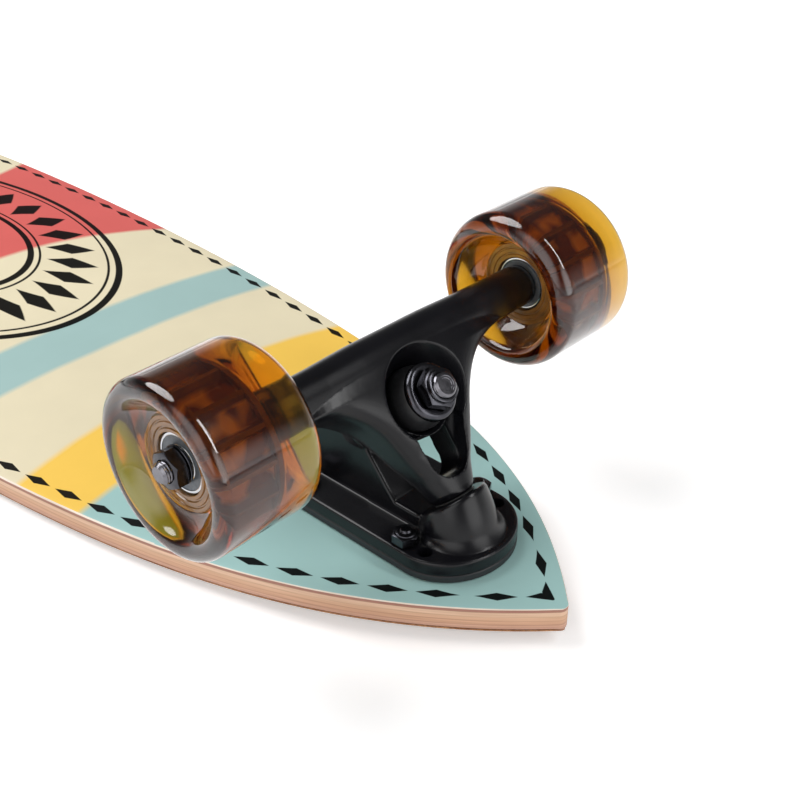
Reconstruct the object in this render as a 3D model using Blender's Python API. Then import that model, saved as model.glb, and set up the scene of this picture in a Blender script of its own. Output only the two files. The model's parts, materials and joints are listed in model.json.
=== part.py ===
"""Longboard skateboard, lying deck down with its trucks and wheels up.

Units are metres. +Z is up, +X points to the nose, and the origin is on the floor under the
middle of the board. A truck's own frame has its origin on the deck, in the middle of its bolts,
with +X toward the nearer tip. A hanger's own frame has its origin in the middle of the ring that
the kingpin passes through, with +X along the pivot axis and +Z along the kingpin.
"""

import math

import bmesh
import bpy
from mathutils import Matrix, Vector

MM = 0.001
GAP = 0.3 * MM              # clearance between two pieces that seat on each other

# Deck
NOSE_REACH = 440 * MM       # widest station to the nose tip
TAIL_REACH = 500 * MM       # widest station to the tail tip
DECK_WIDTH = 220 * MM
DECK_THICKNESS = 10 * MM
TIP_WIDTH = 3 * MM
NOSE_SLIMNESS = 0.53        # share of the outline that tapers from the widest station on
TAIL_SLIMNESS = 0.75
CONCAVE_DEPTH = 5.2 * MM    # how far the widest rails stand out past the flat middle
FLAT_HALF_WIDTH = 27 * MM   # middle strip without concave
RAIL_CHAMFER = 0.9 * MM
GRIP_THICKNESS = 0.6 * MM
DECK_STATIONS = 9          # from the widest station to a tip

# Truck mounting
NOSE_TO_TRUCK = 86.1 * MM   # nose tip to the middle of the front truck's bolts
TAIL_TO_TRUCK = 130 * MM
BOLT_SPACING = 53.98 * MM   # along the board
BOLT_GAUGE = 41.3 * MM      # across the board
LONG_BOLT_SPACING = 63.5 * MM
BOLT_RADIUS = 2.4 * MM
BOLT_HEAD_RADIUS = 4.7 * MM
BOLT_SINK = 0.2 * MM        # head below the deck's face
BOLT_END = 1.6 * MM         # thread that stands past the nut
BOLT_NUT_FLATS = 9.5 * MM
BOLT_NUT_HEIGHT = 4.2 * MM
SPOT_FACE_DEPTH = 0.2 * MM  # milled seat of each nut in the flange

# Riser and baseplate
RISER_THICKNESS = 3.0 * MM
FLANGE_THICKNESS = 5.6 * MM
FLANGE_HALF_WIDTH = 26.6 * MM
FLANGE_STRAIGHT = 32 * MM   # middle of the bolts to where an end starts to round
FLANGE_END_REACH = 55.3 * MM
FLANGE_ROUND = 0.9 * MM
HOUSING_HALF_WIDTH = 12 * MM
HOUSING_BACK_REACH = 50 * MM
HOUSING_FOOT_FLARE = 1.6 * MM
HOUSING_CORNER = 1 * MM
HOUSING_BACK_ROUND = 14 * MM
HOUSING_CREST = 7 * MM      # length of its narrow top
HOUSING_BULGE = 1.3         # exponent of its back's curve
HOUSING_TOP_TAPER = 0.25    # share of the width lost at the top
BRIDGE_TOP = 15 * MM        # block between the housing and the boss
BRIDGE_END = 26.5 * MM
BRIDGE_ROUND = 0.9 * MM
BRIDGE_DRAFT = 0.3 * MM
BRIDGE_CORNER = 1.6 * MM
SEAT_RADIUS = 14.6 * MM
SEAT_CONE_LENGTH = 17 * MM
SEAT_CONE_RADIUS = 9.5 * MM
SEAT_RIM = 2 * MM
BOSS_MOUTH_RADIUS = 12.9 * MM
BOSS_LIP = 0.9 * MM
BOSS_BULGE = 0.8 * MM
BOSS_FOOT_CENTRE = 35 * MM  # from the middle of the bolts
BOSS_FOOT_HALF_LENGTH = 16.5 * MM
BOSS_FOOT_HALF_WIDTH = 14.8 * MM
BOSS_FLARE_LENGTH = 2 * MM
BOSS_FLARE_WIDTH = 4.8 * MM
BOSS_FLARE_START = 0.75     # share of the way down

# Truck geometry
KINGPIN_ANGLE = 50          # degrees from upright
AXLE_HEIGHT = 70.7 * MM     # above the deck
AXLE_TO_KINGPIN = 19.3 * MM
RAKE = 7 * MM               # axle above the pivot axis, along the kingpin
KINGPIN_RADIUS = 4.76 * MM
KINGPIN_END = 26.6 * MM     # from the middle of the ring
KINGPIN_HEAD_HEIGHT = 5 * MM
KINGPIN_HEAD_FLATS = 14.3 * MM
KINGPIN_HEAD_DEPTH = 25 * MM  # housing face to the seat of the head
KINGPIN_NUT_FLATS = 14.3 * MM
KINGPIN_NUT_HEIGHT = 4.6 * MM
KINGPIN_NUT_COLLAR = 1.3 * MM
KINGPIN_NUT_STEP = 0.9 * MM  # collar inside the flats
THREAD_CHAMFER = 0.6 * MM

# Bushings and washers
BUSHING_RADIUS = 12.3 * MM
BUSHING_HEIGHT = 12.7 * MM
BUSHING_TAPER = 0.9 * MM
BUSHING_BARREL = 5 * MM     # straight part next to the ring
CUP_WASHER_RADIUS = 11.2 * MM
CUP_WASHER_THICKNESS = 1.6 * MM
CUP_WASHER_ROUND = 2.2 * MM
CUP_WASHER_WALL = 1.3 * MM
CUP_WASHER_SKIRT = 1.3 * MM  # wall down past the bushing's end
FLAT_WASHER_RADIUS = 14 * MM
FLAT_WASHER_THICKNESS = 1.8 * MM

# Hanger
HANGER_WIDTH = 151 * MM
BEAM_RADIUS = 8.9 * MM
BEAM_MIDDLE_RADIUS = 9.6 * MM
BEAM_HALF_MIDDLE = 18 * MM  # where the thicker middle ends
BEAM_END_RADIUS = 8.5 * MM
BEAM_STRAIGHT = 40 * MM     # middle of the beam to where it starts to taper
BEAM_CHAMFER = 1 * MM
RING_THICKNESS = 7 * MM
RING_BORE_RADIUS = 7 * MM
BUSHING_SEAT_DEPTH = 2.5 * MM
BUSHING_SEAT_CLEARANCE = 0.5 * MM
POCKET_RADIUS = 20.5 * MM
POCKET_SHIFT = 1.5 * MM     # of the pocket's mouth toward the pivot
RING_WALL = 1.9 * MM
YOKE_END = 36.7 * MM        # ring to the round end of the yoke
YOKE_END_RADIUS = 8.3 * MM
YOKE_END_HALF_WIDTH = 9.8 * MM
YOKE_CROWN = 1.3 * MM       # top of the yoke above its slope
YOKE_SLOPE = 1.35           # exponent of that slope
YOKE_SINK = 0.3 * MM        # start of the yoke inside the beam
YOKE_TAPER = 0.418          # half-width lost for each unit toward the pivot
YOKE_FILLET = 36 * MM       # corner between the yoke and the beam
WINDOW_HALF_WIDTH = 9.2 * MM
WINDOW_END = 31.3 * MM
WINDOW_ROUND = 8.6 * MM
RECESS_HALF_WIDTH = 14 * MM  # the window's flared mouth
RECESS_END = 32.3 * MM
RECESS_ROUND = 10.8 * MM
RECESS_FLOOR = 4 * MM       # ring's middle to where the flare starts
RECESS_DEPTH = 7 * MM
PIN_START = 38.9 * MM
PIN_END = 47.5 * MM
PIN_RADIUS = 5.6 * MM
PIN_TIP_RADIUS = 3.2 * MM
PIN_TIP_LENGTH = 2 * MM
CUP_WALL = 2.2 * MM
CUP_FLOOR = 2 * MM

# Axle, wheels and bearings
AXLE_RADIUS = 3.97 * MM
AXLE_LENGTH = 214 * MM
AXLE_CHAMFER = 1.1 * MM
AXLE_NUT_FLATS = 12.7 * MM
AXLE_NUT_HEIGHT = 5 * MM
SPEED_WASHER_RADIUS = 7 * MM
SPEED_WASHER_THICKNESS = 0.9 * MM
BEARING_RADIUS = 11 * MM
BEARING_WIDTH = 7 * MM
BEARING_SPREAD = 8 * MM     # between the two bearings of a wheel
BEARING_RACE_RIM = 1.5 * MM
BEARING_SHIELD_DEPTH = 0.4 * MM
SPACER_RADIUS = 5.6 * MM
WHEEL_RADIUS = 32.5 * MM
WHEEL_WIDTH = 44.4 * MM
WHEEL_INNER_FACE = 62.6 * MM  # from the board's middle line
OUTER_LIP_ROUND = 4.4 * MM
INNER_LIP_ROUND = 6.5 * MM
INNER_DISH_RADIUS = 24 * MM
OUTER_DISH_RADIUS = 25.4 * MM
DISH_DROP = 0.8 * MM         # lip to the edge of a dish
CORE_RING_RADIUS = 17.4 * MM
CORE_WAIST_RADIUS = 13.6 * MM
CORE_RING_WIDTH = 2.2 * MM
CORE_SHOULDER_RADIUS = 9.2 * MM
CORE_OVERHANG = 0.9 * MM    # core past a bearing's face
CORE_FIN_RADIUS = 17 * MM

# Facets
ROUND_FACETS = 20           # tyres
MEDIUM_FACETS = 18          # beam, yoke and boss
SMALL_FACETS = 12           # cores, bushings, washers and the pivot cup
HEX_FACETS = 12             # everything that carries a hexagon, and bearings
HOLE_FACETS = 8             # bolt holes, drawn round their bolts
PLATE_END_STEPS = 8         # round ends of the riser and the flange
CUTTER_REACH = 1 * MM       # cutters go this far past what they cut

# Levels that follow from the sizes above
FLANGE_LOW = 2 * GAP + RISER_THICKNESS
FLANGE_TOP = FLANGE_LOW + FLANGE_THICKNESS
NUT_SEAT = FLANGE_TOP - SPOT_FACE_DEPTH
DECK_LOW = CONCAVE_DEPTH + GRIP_THICKNESS + GAP
DECK_SEAT = DECK_LOW + DECK_THICKNESS
NOSE_TIP = (NOSE_REACH + TAIL_REACH) / 2
WIDEST_X = NOSE_TIP - NOSE_REACH
RING_TOP = RING_THICKNESS / 2
BUSHING_SEAT_RADIUS = BUSHING_RADIUS + BUSHING_SEAT_CLEARANCE
SEAT_LIP = RING_TOP + BUSHING_SEAT_DEPTH
BUSHING_START = RING_TOP + GAP
BUSHING_END = BUSHING_START + BUSHING_HEIGHT
WASHER_START = BUSHING_END + GAP
NUT_START = WASHER_START + CUP_WASHER_THICKNESS + GAP
HOUSING_FACE = -(WASHER_START + FLAT_WASHER_THICKNESS + GAP)
HEAD_SEAT = HOUSING_FACE - KINGPIN_HEAD_DEPTH
BEAM_FRONT = -AXLE_TO_KINGPIN + BEAM_RADIUS
BUSHING_NECK_RADIUS = CUP_WASHER_RADIUS - CUP_WASHER_WALL - 1.5 * GAP
BUSHING_NECK_LENGTH = CUP_WASHER_SKIRT + 2 * GAP
BEARING_START = HANGER_WIDTH / 2 + GAP
BEARING_END = BEARING_START + 2 * BEARING_WIDTH + BEARING_SPREAD
SPEED_WASHER_START = BEARING_END + GAP
AXLE_NUT_START = SPEED_WASHER_START + SPEED_WASHER_THICKNESS + GAP
AXLE_BORE_RADIUS = AXLE_RADIUS + GAP
CORE_START = BEARING_START - CORE_OVERHANG - WHEEL_INNER_FACE
CORE_END = BEARING_END + CORE_OVERHANG - WHEEL_INNER_FACE


def clear_scene():
    for old in list(bpy.data.objects):
        bpy.data.objects.remove(old, do_unlink=True)


def finish(name, colour, roughness, metallic=0.0):
    """A plain material."""
    made = bpy.data.materials.new(name)
    made.use_nodes = True
    shader = made.node_tree.nodes["Principled BSDF"]
    shader.inputs["Base Color"].default_value = (*colour, 1)
    shader.inputs["Roughness"].default_value = roughness
    shader.inputs["Metallic"].default_value = metallic
    return made


def circle(radius, height, facets):
    """Points of a circle about Z."""
    turn = 2 * math.pi / facets
    return [Vector((radius * math.cos(turn * i), radius * math.sin(turn * i), height))
            for i in range(facets)]


def hexagon(flats, height):
    """Twelve points of a hexagon about Z: its corners and the middles of its sides."""
    points = circle(flats / 2, height, HEX_FACETS)
    for corner in points[::2]:
        corner.xy /= math.cos(math.pi / 6)
    return points


def section(half_width, low, high, exponent, place, facets):
    """Points of a rounded rectangle in a YZ plane."""
    points = []
    for i in range(facets):
        angle = 2 * math.pi * i / facets
        across, up = math.cos(angle), math.sin(angle)
        size = (abs(across) ** exponent + abs(up) ** exponent) ** (-1 / exponent)
        rise = (high - low) / 2 * up * size
        points.append(Vector((place, half_width * across * size, (low + high) / 2 + rise)))
    return points


def lofted(rings, hollow=False):
    """A closed mesh through rings of equal point counts. A hollow one returns to its first ring."""
    body = bmesh.new()
    loops = [[body.verts.new(point) for point in ring] for ring in rings]
    pairs = list(zip(loops, loops[1:]))
    if hollow:
        pairs.append((loops[-1], loops[0]))
    else:
        body.faces.new(loops[0])
        body.faces.new(loops[-1])
    for first, second in pairs:
        for i, corner in enumerate(first):
            body.faces.new((first[i - 1], corner, second[i], second[i - 1]))
    return to_mesh(body)


def turned(profile, facets, hollow=False):
    """A mesh turned about Z from a profile of (radius, height)."""
    return lofted([circle(radius, height, facets) for radius, height in profile], hollow)


def to_mesh(body):
    bmesh.ops.recalc_face_normals(body, faces=body.faces)
    mesh = bpy.data.meshes.new("shape")
    body.to_mesh(mesh)
    body.free()
    mesh.shade_smooth()
    mesh.set_sharp_from_angle(angle=math.radians(35))
    return mesh


def moved(mesh, placement):
    mesh.transform(placement)
    return mesh


def about_x():
    """Turns a mesh that was made about Z so that it lies about X."""
    return Matrix.Rotation(math.radians(90), 4, "Y")


def about_y():
    """Turns a mesh that was made about Z so that it lies about Y."""
    return Matrix.Rotation(math.radians(-90), 4, "X")


def combined(base, joins=(), cuts=()):
    """The base mesh with other meshes joined to it and then others cut away."""
    target = bpy.data.objects.new("work", base)
    bpy.context.collection.objects.link(target)
    helpers = []
    for operation, meshes in (("UNION", joins), ("DIFFERENCE", cuts)):
        for mesh in meshes:
            helper = bpy.data.objects.new("cutter", mesh)
            helper.hide_render = True
            helper.display_type = "WIRE"
            bpy.context.collection.objects.link(helper)
            helpers.append(helper)
            boolean = target.modifiers.new("Boolean", "BOOLEAN")
            boolean.operation = operation
            boolean.object = helper
    bpy.context.view_layer.update()
    solved = target.evaluated_get(bpy.context.evaluated_depsgraph_get())
    result = bpy.data.meshes.new_from_object(solved)
    for spent in [target, *helpers]:
        bpy.data.objects.remove(spent, do_unlink=True)
    result.shade_smooth()
    result.set_sharp_from_angle(angle=math.radians(35))
    return result


def piece(name, mesh, material, parent=None):
    """One sub-part of the board."""
    made = bpy.data.objects.new(name, mesh)
    made.parent = parent
    bpy.context.collection.objects.link(made)
    mesh.materials.clear()
    mesh.materials.append(material)
    return made


def frame(name, parent, location, rotation=(0, 0, 0)):
    """An empty that carries the pieces of one assembly."""
    made = bpy.data.objects.new(name, None)
    made.parent = parent
    made.location = location
    made.rotation_euler = rotation
    made.empty_display_size = 0.02
    bpy.context.collection.objects.link(made)
    return made


# Deck and grip

def deck_half_width(x):
    """Half of the deck's width: a long taper, and a steep one close to the tip."""
    nose_side = x > WIDEST_X
    reach = NOSE_REACH if nose_side else TAIL_REACH
    slimness = NOSE_SLIMNESS if nose_side else TAIL_SLIMNESS
    run = min(abs(x - WIDEST_X) / reach, 1)
    fullness = 1 - slimness * run ** 2 - (1 - slimness) * run ** 7
    return TIP_WIDTH / 2 + (DECK_WIDTH - TIP_WIDTH) / 2 * fullness


def deck_stations():
    """Places along the board, closer together toward the tips."""
    shares = [1 - (1 - i / DECK_STATIONS) ** 1.5 for i in range(DECK_STATIONS + 1)]
    tail = [WIDEST_X - TAIL_REACH * share for share in reversed(shares[1:])]
    nose = [WIDEST_X + NOSE_REACH * share for share in shares]
    return tail + nose


def concave(y):
    """How far the deck drops toward the floor away from its flat middle strip."""
    past_flat = max(0, abs(y) - FLAT_HALF_WIDTH) / (DECK_WIDTH / 2 - FLAT_HALF_WIDTH)
    return CONCAVE_DEPTH * past_flat ** 2


def columns(half_width):
    """Places across the board from its middle strip to just inside a rail."""
    rim = half_width - min(RAIL_CHAMFER, half_width / 8)
    strip = min(FLAT_HALF_WIDTH, 0.4 * half_width)
    return [strip, (strip + rim) / 2, rim]


def board(low, high, rails):
    """A board with the deck's concave between two levels, with or without chamfered rails."""
    rings = []
    for x in deck_stations():
        half_width = deck_half_width(x)
        half = [(y, 0) for y in columns(half_width)]
        if rails:
            half.append((half_width, half_width - half[-1][0]))
        under = [(y, low - concave(y) + lift) for y, lift in half]
        over = [(y, high - concave(y) - lift) for y, lift in reversed(half)]
        near_side = [(-y, z) for y, z in reversed(under + over)]
        rings.append([Vector((x, y, z)) for y, z in under + over + near_side])
    return triangulated(lofted(rings))


def triangulated(mesh):
    """Splits every face the same way, so that two nested boards stay clear of each other."""
    body = bmesh.new()
    body.from_mesh(mesh)
    bmesh.ops.triangulate(body, faces=body.faces, quad_method="SHORT_EDGE")
    return to_mesh(body)


def bolt_places():
    """The four bolts of a truck, in the truck's frame."""
    return [(along * BOLT_SPACING / 2, across * BOLT_GAUGE / 2)
            for along in (1, -1) for across in (1, -1)]


def bolt_profile(clearance):
    """Radius and height of a countersunk bolt below its nut, with room round it."""
    head = DECK_LOW - DECK_SEAT + BOLT_SINK + clearance
    cone = BOLT_HEAD_RADIUS - BOLT_RADIUS
    return [(BOLT_HEAD_RADIUS + clearance, head), (BOLT_RADIUS + clearance, head + cone)]


def bolt_cutters():
    """Clearance for every bolt through the deck and grip, in the board's frame."""
    cone = bolt_profile(GAP)
    profile = [(cone[0][0], -2 * DECK_SEAT), *cone, (BOLT_RADIUS + GAP, DECK_THICKNESS)]
    profile = [(radius / math.cos(math.pi / HOLE_FACETS), height) for radius, height in profile]
    cutters = []
    for truck_x, facing in truck_places().values():
        for along, across in bolt_places():
            place = (truck_x + facing * along, across, DECK_SEAT)
            cutters.append(moved(turned(profile, HOLE_FACETS), Matrix.Translation(place)))
    return cutters


def truck_places():
    """Each truck's place along the board and the way that it faces."""
    return {"front": (NOSE_TIP - NOSE_TO_TRUCK, 1), "rear": (TAIL_TO_TRUCK - NOSE_TIP, -1)}


def make_deck():
    maple = finish("maple_ply", (0.72, 0.52, 0.32), 0.45)
    mesh = combined(board(DECK_LOW, DECK_SEAT, True), cuts=bolt_cutters())
    piece("deck", mesh, maple)


def make_grip():
    grit = finish("clear_grit", (0.52, 0.38, 0.25), 0.95)
    sheet = board(CONCAVE_DEPTH, CONCAVE_DEPTH + GRIP_THICKNESS, False)
    piece("grip_tape", combined(sheet, cuts=bolt_cutters()), grit)


# Riser, baseplate and mounting bolts, in the truck's frame

def plate_ring(height, inset=0.0):
    """The outline of the riser and the flange: straight sides and round ends."""
    steps = PLATE_END_STEPS
    reach = FLANGE_END_REACH - FLANGE_STRAIGHT - inset
    half = FLANGE_HALF_WIDTH - inset
    points = []
    for end in (1, -1):
        for i in range(steps + 1):
            angle = math.radians(-90 + 180 * i / steps)
            x = FLANGE_STRAIGHT + reach * math.cos(angle)
            points.append(Vector((end * x, end * half * math.sin(angle), height)))
    return points


def plate_hole_cutters(low, high):
    """Six holes: the truck fits both common bolt patterns."""
    places = bolt_places()
    long_x = LONG_BOLT_SPACING - BOLT_SPACING / 2
    places += [(long_x, across * BOLT_GAUGE / 2) for across in (1, -1)]
    radius = (BOLT_RADIUS + GAP) / math.cos(math.pi / HOLE_FACETS)
    hole = [(radius, low - CUTTER_REACH), (radius, high + CUTTER_REACH)]
    return [moved(turned(hole, HOLE_FACETS), Matrix.Translation((x, y, 0))) for x, y in places]


def spot_face_cutters():
    """Room for the nuts at the foot of the boss."""
    radius = BOLT_NUT_FLATS / 2 / math.cos(math.pi / 6) + GAP
    face = [(radius, NUT_SEAT), (radius, NUT_SEAT + 3 * BOLT_NUT_HEIGHT)]
    return [moved(turned(face, HEX_FACETS), Matrix.Translation((x, y, 0))) for x, y in bolt_places()]


def riser_mesh():
    slab = lofted([plate_ring(GAP), plate_ring(GAP + RISER_THICKNESS)])
    return combined(slab, cuts=plate_hole_cutters(0, FLANGE_LOW))


def kingpin_frame_matrix():
    """From the hanger's frame to the truck's frame."""
    return Matrix.Translation(ring_centre()) @ Matrix.Rotation(math.radians(KINGPIN_ANGLE), 4, "Y")


def ring_centre():
    """The middle of the hanger's ring, in the truck's frame."""
    lean = math.radians(KINGPIN_ANGLE)
    to_pivot = Vector((math.cos(lean), 0, -math.sin(lean)))
    to_nut = Vector((math.sin(lean), 0, math.cos(lean)))
    return Vector((0, 0, AXLE_HEIGHT)) + AXLE_TO_KINGPIN * to_pivot - RAKE * to_nut


def housing_front(height):
    """Where the kingpin housing's sloping face lies at a height."""
    to_truck = kingpin_frame_matrix()
    face = to_truck @ Vector((0, 0, HOUSING_FACE))
    return face.x - (height - face.z) / math.tan(math.radians(KINGPIN_ANGLE))


def housing_ring(half, back, front, height):
    """A level section: crisp corners in front and a round back."""
    steps = 5
    corner = HOUSING_CORNER
    reach = min(HOUSING_BACK_ROUND, (front - back) / 2)
    outline = [(front, corner - half), (front - corner, -half)]
    for i in range(steps + 1):
        angle = math.radians(-90 - 180 * i / steps)
        outline.append((back + reach + reach * math.cos(angle), half * math.sin(angle)))
    outline += [(front - corner, half), (front, half - corner)]
    return [Vector((x, y, height)) for x, y in outline]


def housing_mesh():
    """The wedge that holds the kingpin, built of level sections."""
    top = (kingpin_frame_matrix() @ Vector((-SEAT_RADIUS, 0, HOUSING_FACE))).z
    foot = FLANGE_TOP - FLANGE_ROUND
    crest = housing_front(top) - HOUSING_CREST
    sections = []
    for share in (0, 0.05, 0.35, 0.65, 0.85, 1):
        height = foot + share * (top - foot)
        flare = 0 if share else HOUSING_FOOT_FLARE
        front = housing_front(height) - GAP + flare
        bulge = (1 - share ** HOUSING_BULGE) ** (1 / HOUSING_BULGE)
        back = crest - (HOUSING_BACK_REACH + crest) * bulge - flare
        half = HOUSING_HALF_WIDTH * (1 - HOUSING_TOP_TAPER * max(0, 5 * share - 4))
        sections.append(housing_ring(half + flare, back, front, height))
    return lofted(sections)


def bridge_mesh():
    """The block on the flange that joins the housing to the boss."""
    foot = FLANGE_TOP - FLANGE_ROUND
    half = HOUSING_HALF_WIDTH
    levels = [(foot, half + HOUSING_FOOT_FLARE), (foot + HOUSING_FOOT_FLARE, half + BRIDGE_DRAFT),
              (BRIDGE_TOP - BRIDGE_ROUND, half), (BRIDGE_TOP, half - BRIDGE_ROUND)]
    rings = []
    for height, width in levels:
        reach = BRIDGE_END + width - half
        corner = BRIDGE_CORNER
        outline = [(0, -width), (reach - corner, -width), (reach, corner - width),
                   (reach, width - corner), (reach - corner, width), (0, width)]
        rings.append([Vector((x, y, height)) for x, y in outline])
    return lofted(rings)


def seat_mesh():
    """The round face that the lower washer sits on."""
    deep = HOUSING_FACE - SEAT_CONE_LENGTH
    profile = [(SEAT_CONE_RADIUS, deep), (SEAT_RADIUS, HOUSING_FACE - SEAT_RIM),
               (SEAT_RADIUS, HOUSING_FACE)]
    return moved(turned(profile, MEDIUM_FACETS), kingpin_frame_matrix())


def boss_mesh():
    """The socket for the pivot cup: a round mouth across the pivot axis on a flared foot."""
    to_truck = kingpin_frame_matrix()
    mouth = PIN_START + 2 * GAP
    foot_height = FLANGE_TOP - FLANGE_ROUND
    rings = []
    for share in (0, BOSS_LIP / BOSS_MOUTH_RADIUS, 0.55, 0.87, 1):
        flare = max(0, share - BOSS_FLARE_START) / (1 - BOSS_FLARE_START)
        bulge = BOSS_BULGE * math.sin(math.pi * share)
        ring = []
        for i in range(MEDIUM_FACETS):
            angle = 2 * math.pi * i / MEDIUM_FACETS
            along, across = math.cos(angle), math.sin(angle)
            lip = BOSS_LIP if share == 0 else 0
            radius = BOSS_MOUTH_RADIUS - lip
            top = to_truck @ Vector((mouth, across * radius, along * radius))
            foot = Vector((BOSS_FOOT_CENTRE + BOSS_FOOT_HALF_LENGTH * along,
                           BOSS_FOOT_HALF_WIDTH * across, foot_height))
            spread = Vector((along * (BOSS_FLARE_LENGTH * flare ** 2 + bulge),
                             across * (BOSS_FLARE_WIDTH * flare ** 2 + bulge), 0))
            ring.append(top.lerp(foot, share) + spread)
        rings.append(ring)
    return lofted(rings)


def kingpin_cutters():
    """The kingpin's hole and the pocket that its head goes in through, from below."""
    bore = KINGPIN_RADIUS + GAP
    head = KINGPIN_HEAD_FLATS / 2 / math.cos(math.pi / 6) + 3 * GAP
    deep = HEAD_SEAT - KINGPIN_HEAD_HEIGHT - 3 * GAP
    profile = [(head, deep), (head, HEAD_SEAT), (bore, HEAD_SEAT), (bore, HOUSING_FACE + CUTTER_REACH)]
    stepped = moved(turned(profile, HEX_FACETS), kingpin_frame_matrix())
    centre = kingpin_frame_matrix() @ Vector((0, 0, deep))
    ring = circle(head, 0, HEX_FACETS)
    pocket = lofted([[point + Vector((centre.x, 0, 0)) for point in ring],
                     [point + Vector((centre.x, 0, centre.z)) for point in ring]])
    return [stepped, pocket]


def cup_bore_cutter():
    radius = PIN_RADIUS + GAP + CUP_WALL + GAP
    deep = PIN_END + 2 * GAP + CUP_FLOOR
    profile = [(radius, PIN_START - CUTTER_REACH), (radius, deep)]
    return moved(turned(profile, SMALL_FACETS), kingpin_frame_matrix() @ about_x())


def under_cutter():
    """Takes off whatever reaches below the flange."""
    ring = plate_ring(FLANGE_LOW, -FLANGE_HALF_WIDTH)
    return lofted([ring, [point - Vector((0, 0, AXLE_HEIGHT)) for point in ring]])


def baseplate_mesh():
    flange = lofted([plate_ring(FLANGE_LOW), plate_ring(FLANGE_TOP - FLANGE_ROUND),
                     plate_ring(FLANGE_TOP, FLANGE_ROUND)])
    joins = [housing_mesh(), bridge_mesh(), seat_mesh(), boss_mesh()]
    cuts = [under_cutter(), *kingpin_cutters(), cup_bore_cutter()]
    cuts += spot_face_cutters() + plate_hole_cutters(FLANGE_LOW, FLANGE_TOP)
    return combined(flange, joins, cuts)


def bolt_mesh():
    """A countersunk bolt with its nut."""
    low = NUT_SEAT + GAP
    high = low + BOLT_NUT_HEIGHT
    rings = [circle(radius, height, HEX_FACETS) for radius, height in bolt_profile(0)]
    rings += [circle(BOLT_RADIUS, low, HEX_FACETS), hexagon(BOLT_NUT_FLATS, low),
              hexagon(BOLT_NUT_FLATS, high), circle(BOLT_RADIUS, high, HEX_FACETS),
              circle(BOLT_RADIUS, high + BOLT_END, HEX_FACETS)]
    return lofted(rings)


# Kingpin stack, in the hanger's frame

def kingpin_mesh():
    chamfer = THREAD_CHAMFER
    rings = [hexagon(KINGPIN_HEAD_FLATS, HEAD_SEAT - GAP - KINGPIN_HEAD_HEIGHT),
             hexagon(KINGPIN_HEAD_FLATS, HEAD_SEAT - GAP),
             circle(KINGPIN_RADIUS, HEAD_SEAT - GAP, HEX_FACETS),
             circle(KINGPIN_RADIUS, KINGPIN_END - chamfer, HEX_FACETS),
             circle(KINGPIN_RADIUS - chamfer, KINGPIN_END, HEX_FACETS)]
    return lofted(rings)


def kingpin_nut_mesh():
    bore = KINGPIN_RADIUS + GAP
    high = NUT_START + KINGPIN_NUT_HEIGHT
    collar = KINGPIN_NUT_FLATS / 2 - KINGPIN_NUT_STEP
    rings = [circle(bore, NUT_START, HEX_FACETS), hexagon(KINGPIN_NUT_FLATS, NUT_START),
             hexagon(KINGPIN_NUT_FLATS, high), circle(collar, high, HEX_FACETS),
             circle(collar, high + KINGPIN_NUT_COLLAR, HEX_FACETS),
             circle(bore, high + KINGPIN_NUT_COLLAR, HEX_FACETS)]
    return lofted(rings, hollow=True)


def bushing_mesh(side):
    """A bushing above (side 1) or below (side -1) the ring, slimmer away from it."""
    bore = KINGPIN_RADIUS + GAP
    low, high = side * BUSHING_START, side * BUSHING_END
    neck = BUSHING_RADIUS - BUSHING_TAPER if side < 0 else BUSHING_NECK_RADIUS
    profile = [(bore, low), (BUSHING_RADIUS, low), (BUSHING_RADIUS, low + side * BUSHING_BARREL),
               (neck, high - side * BUSHING_NECK_LENGTH), (neck, high), (bore, high)]
    return turned(profile, SMALL_FACETS, hollow=True)


def cup_washer_mesh():
    bore = KINGPIN_RADIUS + GAP
    low, high = WASHER_START, WASHER_START + CUP_WASHER_THICKNESS
    inner = CUP_WASHER_RADIUS - CUP_WASHER_WALL
    skirt = low - CUP_WASHER_SKIRT
    shoulder = CUP_WASHER_ROUND
    half_way = shoulder * (1 - math.cos(math.radians(45)))
    profile = [(bore, low), (inner, low), (inner, skirt), (CUP_WASHER_RADIUS, skirt),
               (CUP_WASHER_RADIUS, high - shoulder),
               (CUP_WASHER_RADIUS - half_way, high - half_way),
               (CUP_WASHER_RADIUS - shoulder, high), (bore, high)]
    return turned(profile, SMALL_FACETS, hollow=True)


def flat_washer_mesh():
    bore = KINGPIN_RADIUS + GAP
    low, high = -WASHER_START - FLAT_WASHER_THICKNESS, -WASHER_START
    profile = [(bore, low), (FLAT_WASHER_RADIUS, low), (FLAT_WASHER_RADIUS, high), (bore, high)]
    return turned(profile, SMALL_FACETS, hollow=True)


def pivot_cup_mesh():
    """The soft cup in the baseplate's socket that the hanger's pin sits in."""
    mouth = PIN_START + GAP
    inner = PIN_RADIUS + GAP
    outer = inner + CUP_WALL
    floor = PIN_END + GAP
    profile = [(PIN_TIP_RADIUS + GAP, floor), (inner, floor - PIN_TIP_LENGTH), (inner, mouth),
               (outer, mouth), (outer, floor + CUP_FLOOR)]
    return moved(turned(profile, SMALL_FACETS), about_x())


# Hanger, in its own frame

def yoke_fillet_centre():
    """The centre of the arc between the yoke's side and the beam."""
    x = BEAM_FRONT + YOKE_FILLET
    reach = YOKE_FILLET * math.hypot(1, YOKE_TAPER)
    return x, YOKE_END_HALF_WIDTH + YOKE_TAPER * (YOKE_END - x) + reach


def yoke_half_width(x):
    centre_x, centre_y = yoke_fillet_centre()
    tangent = centre_x - YOKE_FILLET * YOKE_TAPER / math.hypot(1, YOKE_TAPER)
    if x > tangent:
        return YOKE_END_HALF_WIDTH + YOKE_TAPER * (YOKE_END - x)
    offset = min(centre_x - x, YOKE_FILLET)
    return centre_y - math.sqrt(YOKE_FILLET ** 2 - offset ** 2)


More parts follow.
